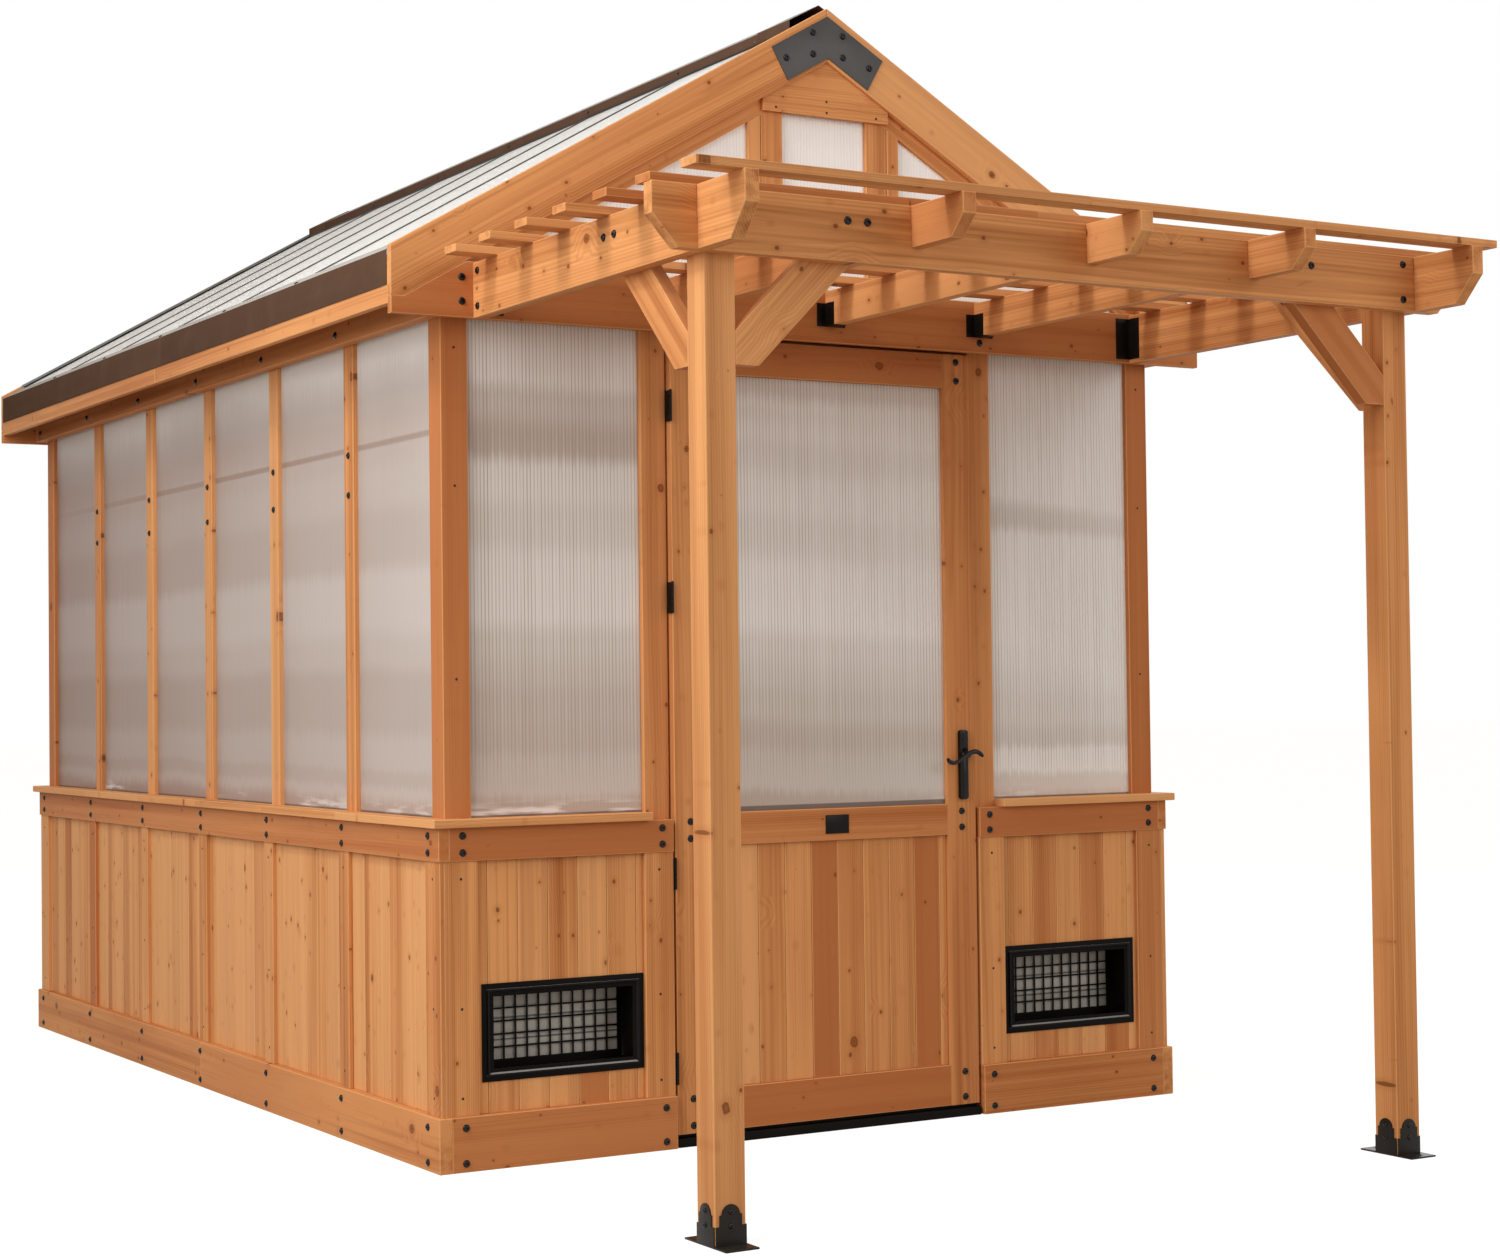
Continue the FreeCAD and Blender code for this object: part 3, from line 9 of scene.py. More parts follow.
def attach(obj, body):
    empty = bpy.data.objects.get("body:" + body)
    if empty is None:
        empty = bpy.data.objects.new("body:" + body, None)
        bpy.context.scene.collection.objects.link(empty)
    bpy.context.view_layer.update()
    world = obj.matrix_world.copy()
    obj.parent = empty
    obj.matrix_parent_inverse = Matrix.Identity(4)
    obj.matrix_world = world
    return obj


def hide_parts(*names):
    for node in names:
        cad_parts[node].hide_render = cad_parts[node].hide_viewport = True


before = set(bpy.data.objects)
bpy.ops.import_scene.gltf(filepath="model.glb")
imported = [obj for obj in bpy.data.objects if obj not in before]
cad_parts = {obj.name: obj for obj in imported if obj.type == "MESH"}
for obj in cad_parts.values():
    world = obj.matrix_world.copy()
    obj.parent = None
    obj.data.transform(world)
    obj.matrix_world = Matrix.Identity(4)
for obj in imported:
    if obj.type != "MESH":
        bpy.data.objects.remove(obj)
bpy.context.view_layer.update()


# The studio. A pale floor runs out into a white surround that gives an even fill, with a broad soft
# light on the left, a smaller one above it and a soft one in front. Shader sums are written with Value.
class Value:
    """A socket of a node tree. Arithmetic on it adds Math nodes, and node() adds any other node."""

    def __init__(self, tree, socket=None):
        self.tree = tree
        self.socket = socket

    def node(self, kind, settings, sockets, output=0):
        made = self.tree.nodes.new("ShaderNode" + kind)
        for name, setting in settings.items():
            setattr(made, name, setting)
        for name, value in sockets.items():
            if isinstance(value, Value):
                self.tree.links.new(value.socket, made.inputs[name])
            else:
                made.inputs[name].default_value = value
        return Value(self.tree, made.outputs[output] if made.outputs else None)

    def math(self, operation, *others):
        return self.node("Math", {"operation": operation}, dict(enumerate((self,) + others)))

    def __add__(self, other):
        return self.math("ADD", other)

    def __sub__(self, other):
        return self.math("SUBTRACT", other)

    def __rsub__(self, other):
        return self * -1.0 + other

    def __mul__(self, other):
        return self.math("MULTIPLY", other)

    def __truediv__(self, other):
        return self.math("DIVIDE", other)

    def __pow__(self, other):
        return self.math("POWER", other)

    __radd__ = __add__
    __rmul__ = __mul__

    def step(self, low, high):
        """0 below low, 1 above high, and a smooth rise between."""
        ends = {"Value": self, "From Min": low, "From Max": high}
        return self.node("MapRange", {"interpolation_type": "SMOOTHSTEP"}, ends)

    def blend(self, first, second):
        """The colour first where this value is 0 and second where it is 1."""
        return self.node("Mix", {"data_type": "RGBA"}, {0: self, 6: first, 7: second}, 2)


def new_finish(name):
    material = bpy.data.materials.new(name)
    material.use_nodes = True
    material.node_tree.nodes.clear()
    return material, Value(material.node_tree)


def seen_white(tree):
    """1 for rays that show the surround itself: to the camera, in a reflection or through a pane."""
    camera_ray = tree.node("LightPath", {}, {}, "Is Camera Ray")
    glossy_ray = tree.node("LightPath", {}, {}, "Is Glossy Ray")
    pane_ray = tree.node("LightPath", {}, {}, "Is Transmission Ray")
    return camera_ray.math("MAXIMUM", glossy_ray).math("MAXIMUM", pane_ray)


floor_finish, tree = new_finish("studio_floor")
shown = seen_white(tree)
floor_paint = tree.node("BsdfDiffuse", {}, {"Color": shown.blend((0.40, 0.38, 0.35, 1), (1, 1, 1, 1))})
glow_level, glow_share = 1.22, 0.70
floor_glow = tree.node("Emission", {}, {"Color": (1, 1, 1, 1), "Strength": glow_level})
floor_mix = tree.node("MixShader", {}, {0: shown * glow_share, 1: floor_paint, 2: floor_glow})
tree.node("OutputMaterial", {}, {"Surface": floor_mix})
floor_reach = 60
floor_corners = [(x * floor_reach, y * floor_reach, 0) for x, y in ((-1, -1), (1, -1), (1, 1), (-1, 1))]
floor_mesh = bpy.data.meshes.new("studio_floor")
floor_mesh.from_pydata(floor_corners, [], [(0, 1, 2, 3)])
floor_mesh.materials.append(floor_finish)
floor = bpy.data.objects.new("studio_floor", floor_mesh)
bpy.context.scene.collection.objects.link(floor)

world = bpy.data.worlds.new("studio_surround")
bpy.context.scene.world = world
world.use_nodes = True
world.node_tree.nodes.clear()
tree = Value(world.node_tree)
shown = seen_white(tree)
fill_level = 0.50
surround_colour = shown.blend((1.0, 0.94, 0.85, 1), (1, 1, 1, 1))
surround_level = fill_level + shown * (1 - fill_level)
surround = tree.node("Background", {}, {"Color": surround_colour, "Strength": surround_level})
tree.node("OutputWorld", {}, {"Surface": surround})

for name, place, aim, size, power in (
    ("key_light", (-5.2, -2.7, 3.4), (-0.9, -0.4, 1.3), 3.6, 150),
    ("high_light", (-3.8, -1.75, 5.4), (0.0, -1.6, 2.0), 0.9, 95),
    ("front_light", (3.2, -7.2, 3.3), (0.2, -1.2, 1.5), 4.0, 118),
    ("back_light", (5.8, 5.2, 4.5), (0.0, 0.4, 1.2), 6.0, 150),
):
    lamp = bpy.data.lights.new(name, "AREA")
    lamp.size = size
    lamp.energy = power
    light = bpy.data.objects.new(name, lamp)
    light.location = place
    light.rotation_mode = "QUATERNION"
    light.rotation_quaternion = (Vector(aim) - Vector(place)).to_track_quat("-Z", "Y")
    bpy.context.scene.collection.objects.link(light)

camera_data = bpy.data.cameras.new("camera")
camera_data.sensor_fit = "HORIZONTAL"
camera_data.sensor_width = 36
camera_data.lens = 63.016
camera_place = (-3.6024, -6.7546, 1.1136)
yaw, pitch, roll = math.radians(30.602), math.radians(1.437), math.radians(-0.68)
forward = Vector((math.sin(yaw) * math.cos(pitch), math.cos(yaw) * math.cos(pitch), math.sin(pitch)))
level_right = Vector((math.cos(yaw), -math.sin(yaw), 0))
level_up = level_right.cross(forward)
right = math.cos(roll) * level_right + math.sin(roll) * level_up
up = math.cos(roll) * level_up - math.sin(roll) * level_right
turned = Matrix((right, up, -forward)).transposed().to_4x4()
camera = bpy.data.objects.new("camera", camera_data)
camera.matrix_world = Matrix.Translation(camera_place) @ turned
bpy.context.scene.collection.objects.link(camera)
bpy.context.scene.camera = camera
bpy.context.scene.view_settings.view_transform = "Standard"


# Base boards. Western red cedar planks on edge, planed on four sides with eased arrises, oiled,
# and bolted to the posts and studs. Every other timber is cut and finished in the same way.
def solids_of(node):
    """Each closed solid of a CAD node, as a list of triangles of corner points."""
    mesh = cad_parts[node].data
    places = [tuple(round(c * 1e5) for c in v.co) for v in mesh.vertices]
    solids, triangles, open_edges = [], [], set()
    for face in mesh.polygons:
        corners = [places[i] for i in face.vertices]
        triangles.append([(places[i], mesh.vertices[i].co.copy()) for i in face.vertices])
        for a, b in zip(corners, corners[1:] + corners[:1]):
            if a != b:
                open_edges ^= {frozenset((a, b))}
        if not open_edges:
            solids.append(triangles)
            triangles = []
    return solids


def joined_solid(triangles):
    """A bmesh of one solid, its flat faces joined up from their triangles."""
    bm = bmesh.new()
    corners = {}
    for triangle in triangles:
        for place, point in triangle:
            if place not in corners:
                corners[place] = bm.verts.new(point)
        ring = [corners[place] for place, point in triangle]
        if len(set(ring)) == 3 and not bm.faces.get(ring):
            bm.faces.new(ring)
    bmesh.ops.recalc_face_normals(bm, faces=bm.faces)
    bmesh.ops.dissolve_limit(bm, angle_limit=math.radians(1), verts=bm.verts, edges=bm.edges)
    return bm


def ease(bm, arris):
    """Rounds a solid's sharp outer edges, and gives for each face 1 on the rounding and 0 elsewhere."""
    edge_wear_and_highlight = bm.faces.layers.int.new("edge_wear_and_highlight")
    sharp = [e for e in bm.edges if e.is_convex and e.calc_face_angle(0) > math.radians(30)]
    rounded = bmesh.ops.bevel(
        bm, geom=sharp, offset=arris, segments=2, profile=0.6, affect="EDGES", clamp_overlap=True
    )
    for face in rounded["faces"]:
        face[edge_wear_and_highlight] = 1
    bm.verts.index_update()
    return [float(face[edge_wear_and_highlight]) for face in bm.faces]


class Stock:
    """Collects the vertices and faces of one piece, with the values its finish reads."""

    def __init__(self):
        self.points, self.faces, self.grain, self.shade, self.edge_wear_and_highlight = [], [], [], [], []

    def add(self, points, faces, grain=None, shade=0.0, edge_wear_and_highlight=None):
        first = len(self.points)
        self.points += [tuple(p) for p in points]
        self.faces += [tuple(first + i for i in face) for face in faces]
        self.grain += grain or [tuple(p) for p in points]
        self.shade += [shade] * len(points)
        self.edge_wear_and_highlight += edge_wear_and_highlight or [0.0] * len(faces)

    def piece(self, name, finish, body, slot, *nodes, smooth=None):
        mesh = bpy.data.meshes.new(name)
        mesh.from_pydata(self.points, [], self.faces)
        grain = mesh.attributes.new("grain", "FLOAT_VECTOR", "POINT")
        grain.data.foreach_set("vector", [c for g in self.grain for c in g])
        mesh.attributes.new("shade", "FLOAT", "POINT").data.foreach_set("value", self.shade)
        mesh.attributes.new("edge_wear_and_highlight", "FLOAT", "FACE").data.foreach_set("value", self.edge_wear_and_highlight)
        mesh.materials.append(finish)
        if smooth:
            mesh.shade_smooth()
            mesh.set_sharp_from_angle(angle=math.radians(smooth))
        made = bpy.data.objects.new(name, mesh)
        bpy.context.scene.collection.objects.link(made)
        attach(made, body)
        if nodes:
            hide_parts(*nodes)
        return made


def timber(node, body, arris=0.002, tone=0.0, rail_tone=None, spread=0.75, right_half_painted_light=0.0):
    """Saws a node's boards from logs of their own: grain runs along each board, with its own shade.

    A tone above 0 is honey, below 0 red. Boards that lie level across the house can have their own; the
    last argument shifts the boards in the right half of the house as painted light and shade, lighter or
    darker."""
    log = random.Random(node)
    stock = Stock()
    for triangles in solids_of(node):
        bm = joined_solid(triangles)
        runs = {}
        for edge in bm.edges:
            line = (edge.verts[1].co - edge.verts[0].co).normalized()
            line = line if max(line, key=abs) > 0 else -line
            key = tuple(round(c, 1) for c in line)
            length, _ = runs.get(key, (0, line))
            runs[key] = (length + edge.calc_length(), line)
        along = max(runs.values(), key=lambda run: run[0])[1]
        sides = [f for f in bm.faces if abs(f.normal.dot(along)) < 0.1]
        thick = max(sides, key=lambda f: f.calc_area()).normal
        thick = (thick - along * thick.dot(along)).normalized()
        across = along.cross(thick)
        edge_wear_and_highlight = ease(bm, arris)
        middle = sum((v.co for v in bm.verts), Vector()) / len(bm.verts)
        heart = log.choice((-1, 1)) * log.uniform(0.03, 0.14)
        pith = Vector((log.uniform(0, 40), log.uniform(-0.12, 0.12), heart))
        grain = []
        for vert in bm.verts:
            offset = vert.co - middle
            grain.append(tuple(Vector((offset.dot(along), offset.dot(across), offset.dot(thick))) + pith))
        faces = [[v.index for v in f.verts] for f in bm.faces]
        level = rail_tone is not None and abs(along.x) > 0.9
        right_half = middle.x > 0.3
        shade = log.gauss(rail_tone if level else tone, spread) + (right_half_painted_light if right_half else 0.0)
        stock.add([v.co for v in bm.verts], faces, grain, shade, edge_wear_and_highlight)
        bm.free()
    return stock.piece("cedar_" + node, cedar, body, "cedar", node)


def stretched(tree, vector, scale):
    return tree.node("VectorMath", {"operation": "MULTIPLY"}, {0: vector, 1: scale})


def noise(tree, vector, scale, detail=2.0, roughness=0.5):
    """Noise from 0 to 1 over a vector, drawn out by a scale for each of its three parts."""
    drawn_out = stretched(tree, vector, scale)
    sockets = {"Vector": drawn_out, "Scale": 1.0, "Detail": detail, "Roughness": roughness}
    return tree.node("TexNoise", {}, sockets)


def knots(tree, grain, cells, chance, size):
    """Knots, one to a cell: the distance from the heart, 1 at the rim, and 1 where a cell has one."""
    grid = stretched(tree, grain, cells)
    sockets = {"Vector": grid, "Scale": 1.0, "Randomness": 1.0}
    place = tree.node("TexVoronoi", {}, sockets, "Position")
    colour = tree.node("TexVoronoi", {}, sockets, "Color")
    draw = tree.node("SeparateColor", {}, {"Color": colour}, "Red")
    offset = tree.node("VectorMath", {"operation": "SUBTRACT"}, {0: grid, 1: place})
    offset = stretched(tree, offset, (0.8 / cells[0], 1 / cells[1], 0.12 / cells[2]))
    distance = tree.node("VectorMath", {"operation": "LENGTH"}, {0: offset}, "Value")
    wobble = noise(tree, grain, (90, 90, 20), 3)
    radius = draw.step(chance - 0.15, 1.0) * size + 0.0001
    return distance / radius + (wobble - 0.5) * 0.5, draw.step(chance, chance + 0.02)


cedar, tree = new_finish("oiled_cedar")
grain = tree.node("Attribute", {"attribute_name": "grain"}, {}, "Vector")
shade = tree.node("Attribute", {"attribute_name": "shade"}, {}, "Fac")
edge_wear_and_highlight = tree.node("Attribute", {"attribute_name": "edge_wear_and_highlight"}, {}, "Fac")
knot_depth, knot_there = knots(tree, grain, (3.0, 9.0, 3.0), 0.15, 0.0135)
pin_depth, pin_there = knots(tree, grain, (8.0, 22.0, 8.0), 0.30, 0.0055)
knot = (1 - knot_depth.step(0.75, 1.0)) * knot_there
knot_heart = (1 - knot_depth.step(0.15, 0.55)) * knot_there
knot_rim = knot * knot_depth.step(0.55, 0.95)
pin = (1 - pin_depth.step(0.70, 1.05)) * pin_there
stain = (1 - pin_depth.step(0.9, 3.2)) * pin_there + (1 - knot_depth.step(0.9, 2.2)) * knot_there
swirl = (1 - knot_depth.step(0.8, 4.5)) * knot_there

wander = noise(tree, grain, (0.30, 2.6, 2.6), 2)
ripple = noise(tree, grain, (1.6, 9.0, 9.0), 2)
from_pith_across = tree.node("SeparateXYZ", {}, {0: grain}, "Y")
from_pith_through = tree.node("SeparateXYZ", {}, {0: grain}, "Z")
trunk = from_pith_across ** 2.0 + from_pith_through ** 2.0
ring_radius = trunk ** 0.5 + (wander - 0.5) * 0.050 + (ripple - 0.5) * 0.004 + swirl * 0.012
rings_per_metre = 190.0
ring = (ring_radius * rings_per_metre).math("FRACT")
late_wood = ring.step(0.20, 0.82) * (1 - ring.step(0.86, 1.0))
streak = noise(tree, grain, (0.45, 34.0, 34.0), 3, 0.62)
band = noise(tree, grain, (0.35, 11.0, 11.0), 2)
fibre = noise(tree, grain, (6.0, 420.0, 420.0), 2, 0.6)
cloud = noise(tree, grain, (1.1, 4.0, 4.0), 2)

pale_wood = (0.775, 0.355, 0.134, 1)
dark_wood = (0.390, 0.124, 0.034, 1)
red_wood = (0.475, 0.150, 0.048, 1)
honey_wood = (0.820, 0.420, 0.180, 1)
painted_arris_highlight = (0.840, 0.450, 0.190, 1)
knot_brown = (0.250, 0.072, 0.018, 1)
knot_black = (0.050, 0.015, 0.006, 1)
wood = (late_wood * 0.24 + (streak - 0.5) * 2.2 + (band - 0.5) * 1.7 + 0.16).blend(pale_wood, dark_wood)
wood = (cloud.step(0.40, 0.75) * 0.35).blend(wood, red_wood)
wood = (shade.step(0.1, 2.0) * 0.65).blend(wood, honey_wood)
wood = ((0 - shade).step(0.0, 1.8) * 0.85).blend(wood, red_wood)
wood = (fibre.step(0.52, 0.85) * 0.32).blend(wood, dark_wood)
wood = (stain * 0.30).blend(wood, red_wood)
wood = (knot * 0.75 + pin * 0.65).blend(wood, knot_brown)
wood = (knot_heart * 0.55 + knot_rim * 0.55 + pin * 0.30).blend(wood, knot_black)
# Painted highlight: the rounded arrises of the wood are painted paler, as light lines along the board
# edges.
wood = (edge_wear_and_highlight * 0.50).blend(wood, painted_arris_highlight)
relief = late_wood * 0.4 + fibre * 0.6 - knot * 0.8
bump = tree.node("Bump", {}, {"Height": relief, "Strength": 0.25, "Distance": 0.0006})
gloss = 0.56 + (fibre - 0.5) * 0.20 - late_wood * 0.06
sockets = {"Base Color": wood, "Roughness": gloss, "Normal": bump, "Specular IOR Level": 0.05}
tree.node("OutputMaterial", {}, {"Surface": tree.node("BsdfPrincipled", {}, sockets)})

# Painted light: the base boards in the right half of the house are painted lighter than those on the
# left.
timber("base_boards", "house", tone=-0.5, rail_tone=-1.25, spread=0.1, right_half_painted_light=0.65)

# Wall frame. Square corner posts, studs between the bays, the pair of jambs at the doorway and
# the plates along the top, all cedar, half hidden behind the boarding and the sheets.
timber("corner_posts", "house", tone=-1.5, spread=0.2)
timber("wall_studs", "house", tone=0.2)
timber("door_jambs", "house", tone=-0.3)
# Painted shade, in part: the top plates under the eaves are toned darker and redder than the studs.
timber("top_plates", "house", tone=-0.9, spread=0.3)
timber("window_rails", "house")

# Boarding. Upright cedar boards below the windows, nailed behind the belt rails, with a batten
# over each stud, a rail along the top and a sloping sill on the rail.
for node, tone in (("front_siding", 0.4), ("side_siding", 1.5), ("rear_siding", 0.8)):
    timber(node, "house", 0.0024, tone, spread=1.0)
timber("siding_battens", "house", 0.0018)
timber("belt_rails", "house", 0.0018, -0.9, -2.0, 0.2)
timber("sill_ledges", "house", 0.0018, 0.5)

# Gable and roof timber. Rafters and a ridge beam carry the sheets; a ledger, king posts and rake
# boards finish each gable, and a fascia closes the eaves.
for node in ("gable_frames", "gable_ledgers", "gable_rafters", "roof_rafters", "ridge_beam"):
    timber(node, "house")
# Painted shade, in part: the fascias under the eaves are toned darker and redder than the rafters.
timber("eave_fascias", "house", tone=-0.6, spread=0.3)
timber("rake_boards", "house", tone=0.7, spread=0.4)

# Porch. Two posts, a front beam and side beams with clipped ends, loose rafters and a row of slats
# laid over them, braced by knee braces. The shelf inside is of the same planks.
# Painted shade: the right porch post is painted darker than the left one.
timber("pergola_posts", "house", tone=1.0, spread=0.3, right_half_painted_light=-0.9)
timber("pergola_side_beams", "house", tone=0.1, spread=0.3)
for node in ("pergola_front_beam", "pergola_rafters", "knee_braces", "wall_shelf"):
    timber(node, "house")
timber("pergola_slats", "house", 0.0015, 0.2)

# Door. Two stiles and three rails of thicker cedar, with upright boards let into the lower half.
# The level rails are redder than the stiles, and the boards differ more from one to the next.
timber("door_frame", "door", tone=-0.5, rail_tone=-1.4, spread=0.3)
timber("door_boards", "door", 0.0024, 0.0, spread=1.2)


# Wall sheets. Fluted twin-wall polycarbonate with upright ribs. The soft level bands of what is behind,
# and the shade that falls on the sheets, are painted light and shade in their colour. The sheets sit in
# rebates behind the sills, and are scuffed along the foot.
def sheet_finish(
    name, across, foot, bands, lit, dim, rib_shade, clear, fluting=1.0, lean=0.0, bays=(), lines=()
):
    """Twin-wall sheet with its ribs set out along the axis across.

    The bands are painted light and shade. Going up from the painted brightness at its foot, each band is
    the height where the painted brightness changes, by how much, and over what height it fades. Lean is
    how much brighter the painted light gets for each metre across. Each bay is the place across where
    bands of its own begin. Each line is the height, depth and width of a painted dark line of shade from
    something thin behind."""
    finish, tree = new_finish(name)
    place = tree.node("TexCoord", {}, {}, "Object")
    run = tree.node("SeparateXYZ", {}, {0: place}, across)
    height = tree.node("SeparateXYZ", {}, {0: place}, "Z")
    rib_pitch = 0.0095
    ribs = run / rib_pitch
    rib = (ribs.math("FRACT") - 0.5).math("ABSOLUTE") * 2
    rib_line = rib.step(0.50, 0.95)
    rib_depth = tree.node("TexWhiteNoise", {"noise_dimensions": "1D"}, {"W": ribs.math("FLOOR")}, "Value")
    rib_fade = noise(tree, place, (90, 90, 1.4), 2)
    haze = noise(tree, place, (1.6, 1.6, 1.1), 2)
    tilt = 0.025 if across == "X" else 0.0
    sag = height + run * tilt + (haze - 0.5) * 0.05 + (rib_depth - 0.5) * 0.012
    bright = foot + run * lean + (haze - 0.5) * 0.20
    for level, change, fade in bands:
        bright = bright + sag.step(level - fade / 2, level + fade / 2) * change
    for edge, bay_bands in bays:
        for level, change, fade in bay_bands:
            rise = sag.step(level - fade / 2, level + fade / 2)
            bright = bright + rise * run.step(edge - 0.02, edge + 0.02) * change
    for level, depth, width in lines:
        clear_of_line = (height - level).math("ABSOLUTE").step(width * 0.2, width * 0.6)
        bright = bright - (1 - clear_of_line) * depth
    # Painted light and shade: the colour runs from the dim copy to the lit copy with the painted
    # brightness.
    paint = bright.blend(dim, lit)
    flute = rib_line * (rib_depth * 0.5 + 0.5) * rib_fade.step(0.1, 0.6) * sag.step(0.86, 0.98) * fluting
    paint = flute.blend(paint, rib_shade)
    # Painted highlight: pale lines along the flutes between the ribs, stronger towards the top of the
    # sheet.
    painted_rib_highlight = (1 - rib.step(0.0, 0.4)) * (1 - rib_depth) * sag.step(0.9, 1.1)
    painted_highlight_white = (0.99, 0.98, 0.96, 1)
    paint = (painted_rib_highlight * fluting * (0.45 + sag.step(1.86, 2.02) * 0.4)).blend(paint, painted_highlight_white)
    scuff = noise(tree, place, (7, 7, 55), 3).step(0.46, 0.64)
    scuff = scuff * (1 - height.step(0.835, 0.875)) * haze.step(0.50, 0.62)
    scuff_white = (0.99, 0.98, 0.97, 1)
    paint = (scuff * 0.85).blend(paint, scuff_white)
    # A thin dark brown line along the very foot of the sheet.
    foot_line = 1 - height.step(0.833, 0.836)
    foot_line_brown = (0.10, 0.07, 0.055, 1)
    paint = (foot_line * 0.75).blend(paint, foot_line_brown)
    rough = 0.42 + (haze - 0.5) * 0.1 - rib_line * 0.08
    bump = tree.node("Bump", {}, {"Height": rib_line, "Strength": 0.25, "Distance": 0.0008})
    sockets = {"Base Color": paint, "Roughness": rough, "Normal": bump}
    sockets.update({"Transmission Weight": clear, "IOR": 1.25})
    tree.node("OutputMaterial", {}, {"Surface": tree.node("BsdfPrincipled", {}, sockets)})
    return finish


def dress(node, finish):
    """Gives a CAD node that keeps its own shape its finish."""
    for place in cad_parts[node].material_slots:
        place.material = finish


# Lit and dim copies of the sheet colour, and bands of painted light and shade: height, change, fade.
wall_lit = (0.99, 0.95, 0.91, 1)
wall_dim = (0.44, 0.32, 0.25, 1)
wall_rib = (0.42, 0.32, 0.26, 1)
front_bands = [
    (0.862, 0.20, 0.036),
    (0.97, -0.10, 0.04),
    (1.04, 0.02, 0.05),
    (1.13, 0.10, 0.06),
    (1.19, 0.12, 0.08),
    (1.27, 0.22, 0.06),
    (1.46, -0.14, 0.06),
    (1.57, 0.14, 0.06),
    (1.675, -0.50, 0.05),
    (1.77, 0.28, 0.08),
    (1.85, 0.38, 0.05),
]
door_bands = [
    (0.80, -0.14, 0.02),
    (1.04, 0.12, 0.05),
    (1.675, 0.37, 0.05),
    (1.79, -0.20, 0.06),
    (1.86, -0.60, 0.05),
]
right_bands = [
    (0.915, 0.36, 0.03),
    (0.985, -0.30, 0.03),
    (1.56, -0.55, 0.05),
    (1.64, 0.55, 0.08),
    (1.79, 0.18, 0.08),
    (1.86, 0.60, 0.05),
]
front_bays = [(-0.46, door_bands), (0.46, right_bands)]
front_sheet = sheet_finish(
    "front_wall_sheet", "X", 0.40, front_bands, wall_lit, wall_dim, wall_rib, 0.14,
    fluting=0.85, lean=0.30, bays=front_bays,
)
for node in ("front_panes", "rear_panes", "door_pane"):
    dress(node, front_sheet)
side_bands = [
    (0.866, 0.20, 0.036),
    (0.90, -0.10, 0.02),
    (0.94, 0.08, 0.02),
    (1.03, -0.10, 0.05),
    (1.19, 0.12, 0.05),
    (1.28, 0.08, 0.06),
    (1.44, -0.16, 0.05),
    (1.59, 0.07, 0.06),
    (1.70, -0.05, 0.05),
    (1.765, -0.05, 0.03),
    (1.85, 0.14, 0.08),
    (1.91, 0.24, 0.08),
    (1.96, 0.42, 0.08),
]
side_dim = (0.40, 0.26, 0.20, 1)
# Painted shade: a dark line across the side sheets where the shelf behind them shows through.
painted_shelf_shade = [(1.755, 0.28, 0.018)]
side_sheet = sheet_finish(
    "side_wall_sheet", "Y", 0.18, side_bands, wall_lit, side_dim, wall_rib, 0.30,
    fluting=0.22, lean=-0.11, lines=painted_shelf_shade,
)
dress("side_panes", side_sheet)

# Roof and gable sheets. The same twin-wall sheet in opal white, with ribs running down the slope of
# the roof and upright in the gables. The roof is painted darker towards the rear as painted shade.
opal_lit = (0.99, 0.98, 0.97, 1)
opal_dim = (0.82, 0.77, 0.72, 1)
opal_rib = (0.80, 0.77, 0.73, 1)
gable_sheet = sheet_finish(
    "gable_sheet", "X", 0.8, [], opal_lit, opal_lit, opal_rib, 0.03, fluting=0.7
)
roof_sheet = sheet_finish(
    "roof_sheet", "Y", 0.55, [], opal_lit, opal_dim, opal_rib, 0.40, lean=-0.16
)
dress("gable_panes", gable_sheet)
dress("roof_panes", roof_sheet)


# Roof flashings. Folded aluminium in brown paint along the eaves, the rear rakes and over the ridge,
# lapped at their joints and held by small screws; dark strips cover the sheet joints.
def coat_finish(name, colour, dust, roughness, shine=0.25, sky_reflection_share=0.0):
    """Painted or moulded surface with a fine texture, thin dust, rubbed patches and paler worn edges.

    The last argument is how far a pale grey, a painted reflection of the sky, covers the faces turned up."""
    finish, tree = new_finish(name)
    place = tree.node("TexCoord", {}, {}, "Object")
    edge_wear_and_highlight = tree.node("Attribute", {"attribute_name": "edge_wear_and_highlight"}, {}, "Fac")
    facing = tree.node("SeparateXYZ", {}, {0: tree.node("NewGeometry", {}, {}, "Normal")}, "Z")
    grit = noise(tree, place, (900, 900, 900), 2)
    patch = noise(tree, place, (9, 9, 9), 4, 0.6)
    smear = noise(tree, place, (2.0, 2.0, 30.0), 3)
    paint = (patch.step(0.42, 0.72) * 0.35 + smear.step(0.5, 0.8) * 0.25).blend(colour, dust)
    paint = (grit.step(0.60, 0.80) * 0.18 + edge_wear_and_highlight * patch * 0.7).blend(paint, dust)
    painted_sky_reflection = (0.50, 0.48, 0.45, 1)
    # Painted reflection: faces turned up are painted pale grey, as if they showed the sky.
    paint = (facing.step(0.5, 0.8) * sky_reflection_share).blend(paint, painted_sky_reflection)
    rough = roughness + (patch - 0.5) * 0.22 + (grit - 0.5) * 0.10
    bump = tree.node("Bump", {}, {"Height": grit, "Strength": 0.18, "Distance": 0.0003})
    sockets = {"Base Color": paint, "Roughness": rough, "Specular IOR Level": shine, "Normal": bump}
    tree.node("OutputMaterial", {}, {"Surface": tree.node("BsdfPrincipled", {}, sockets)})
    return finish


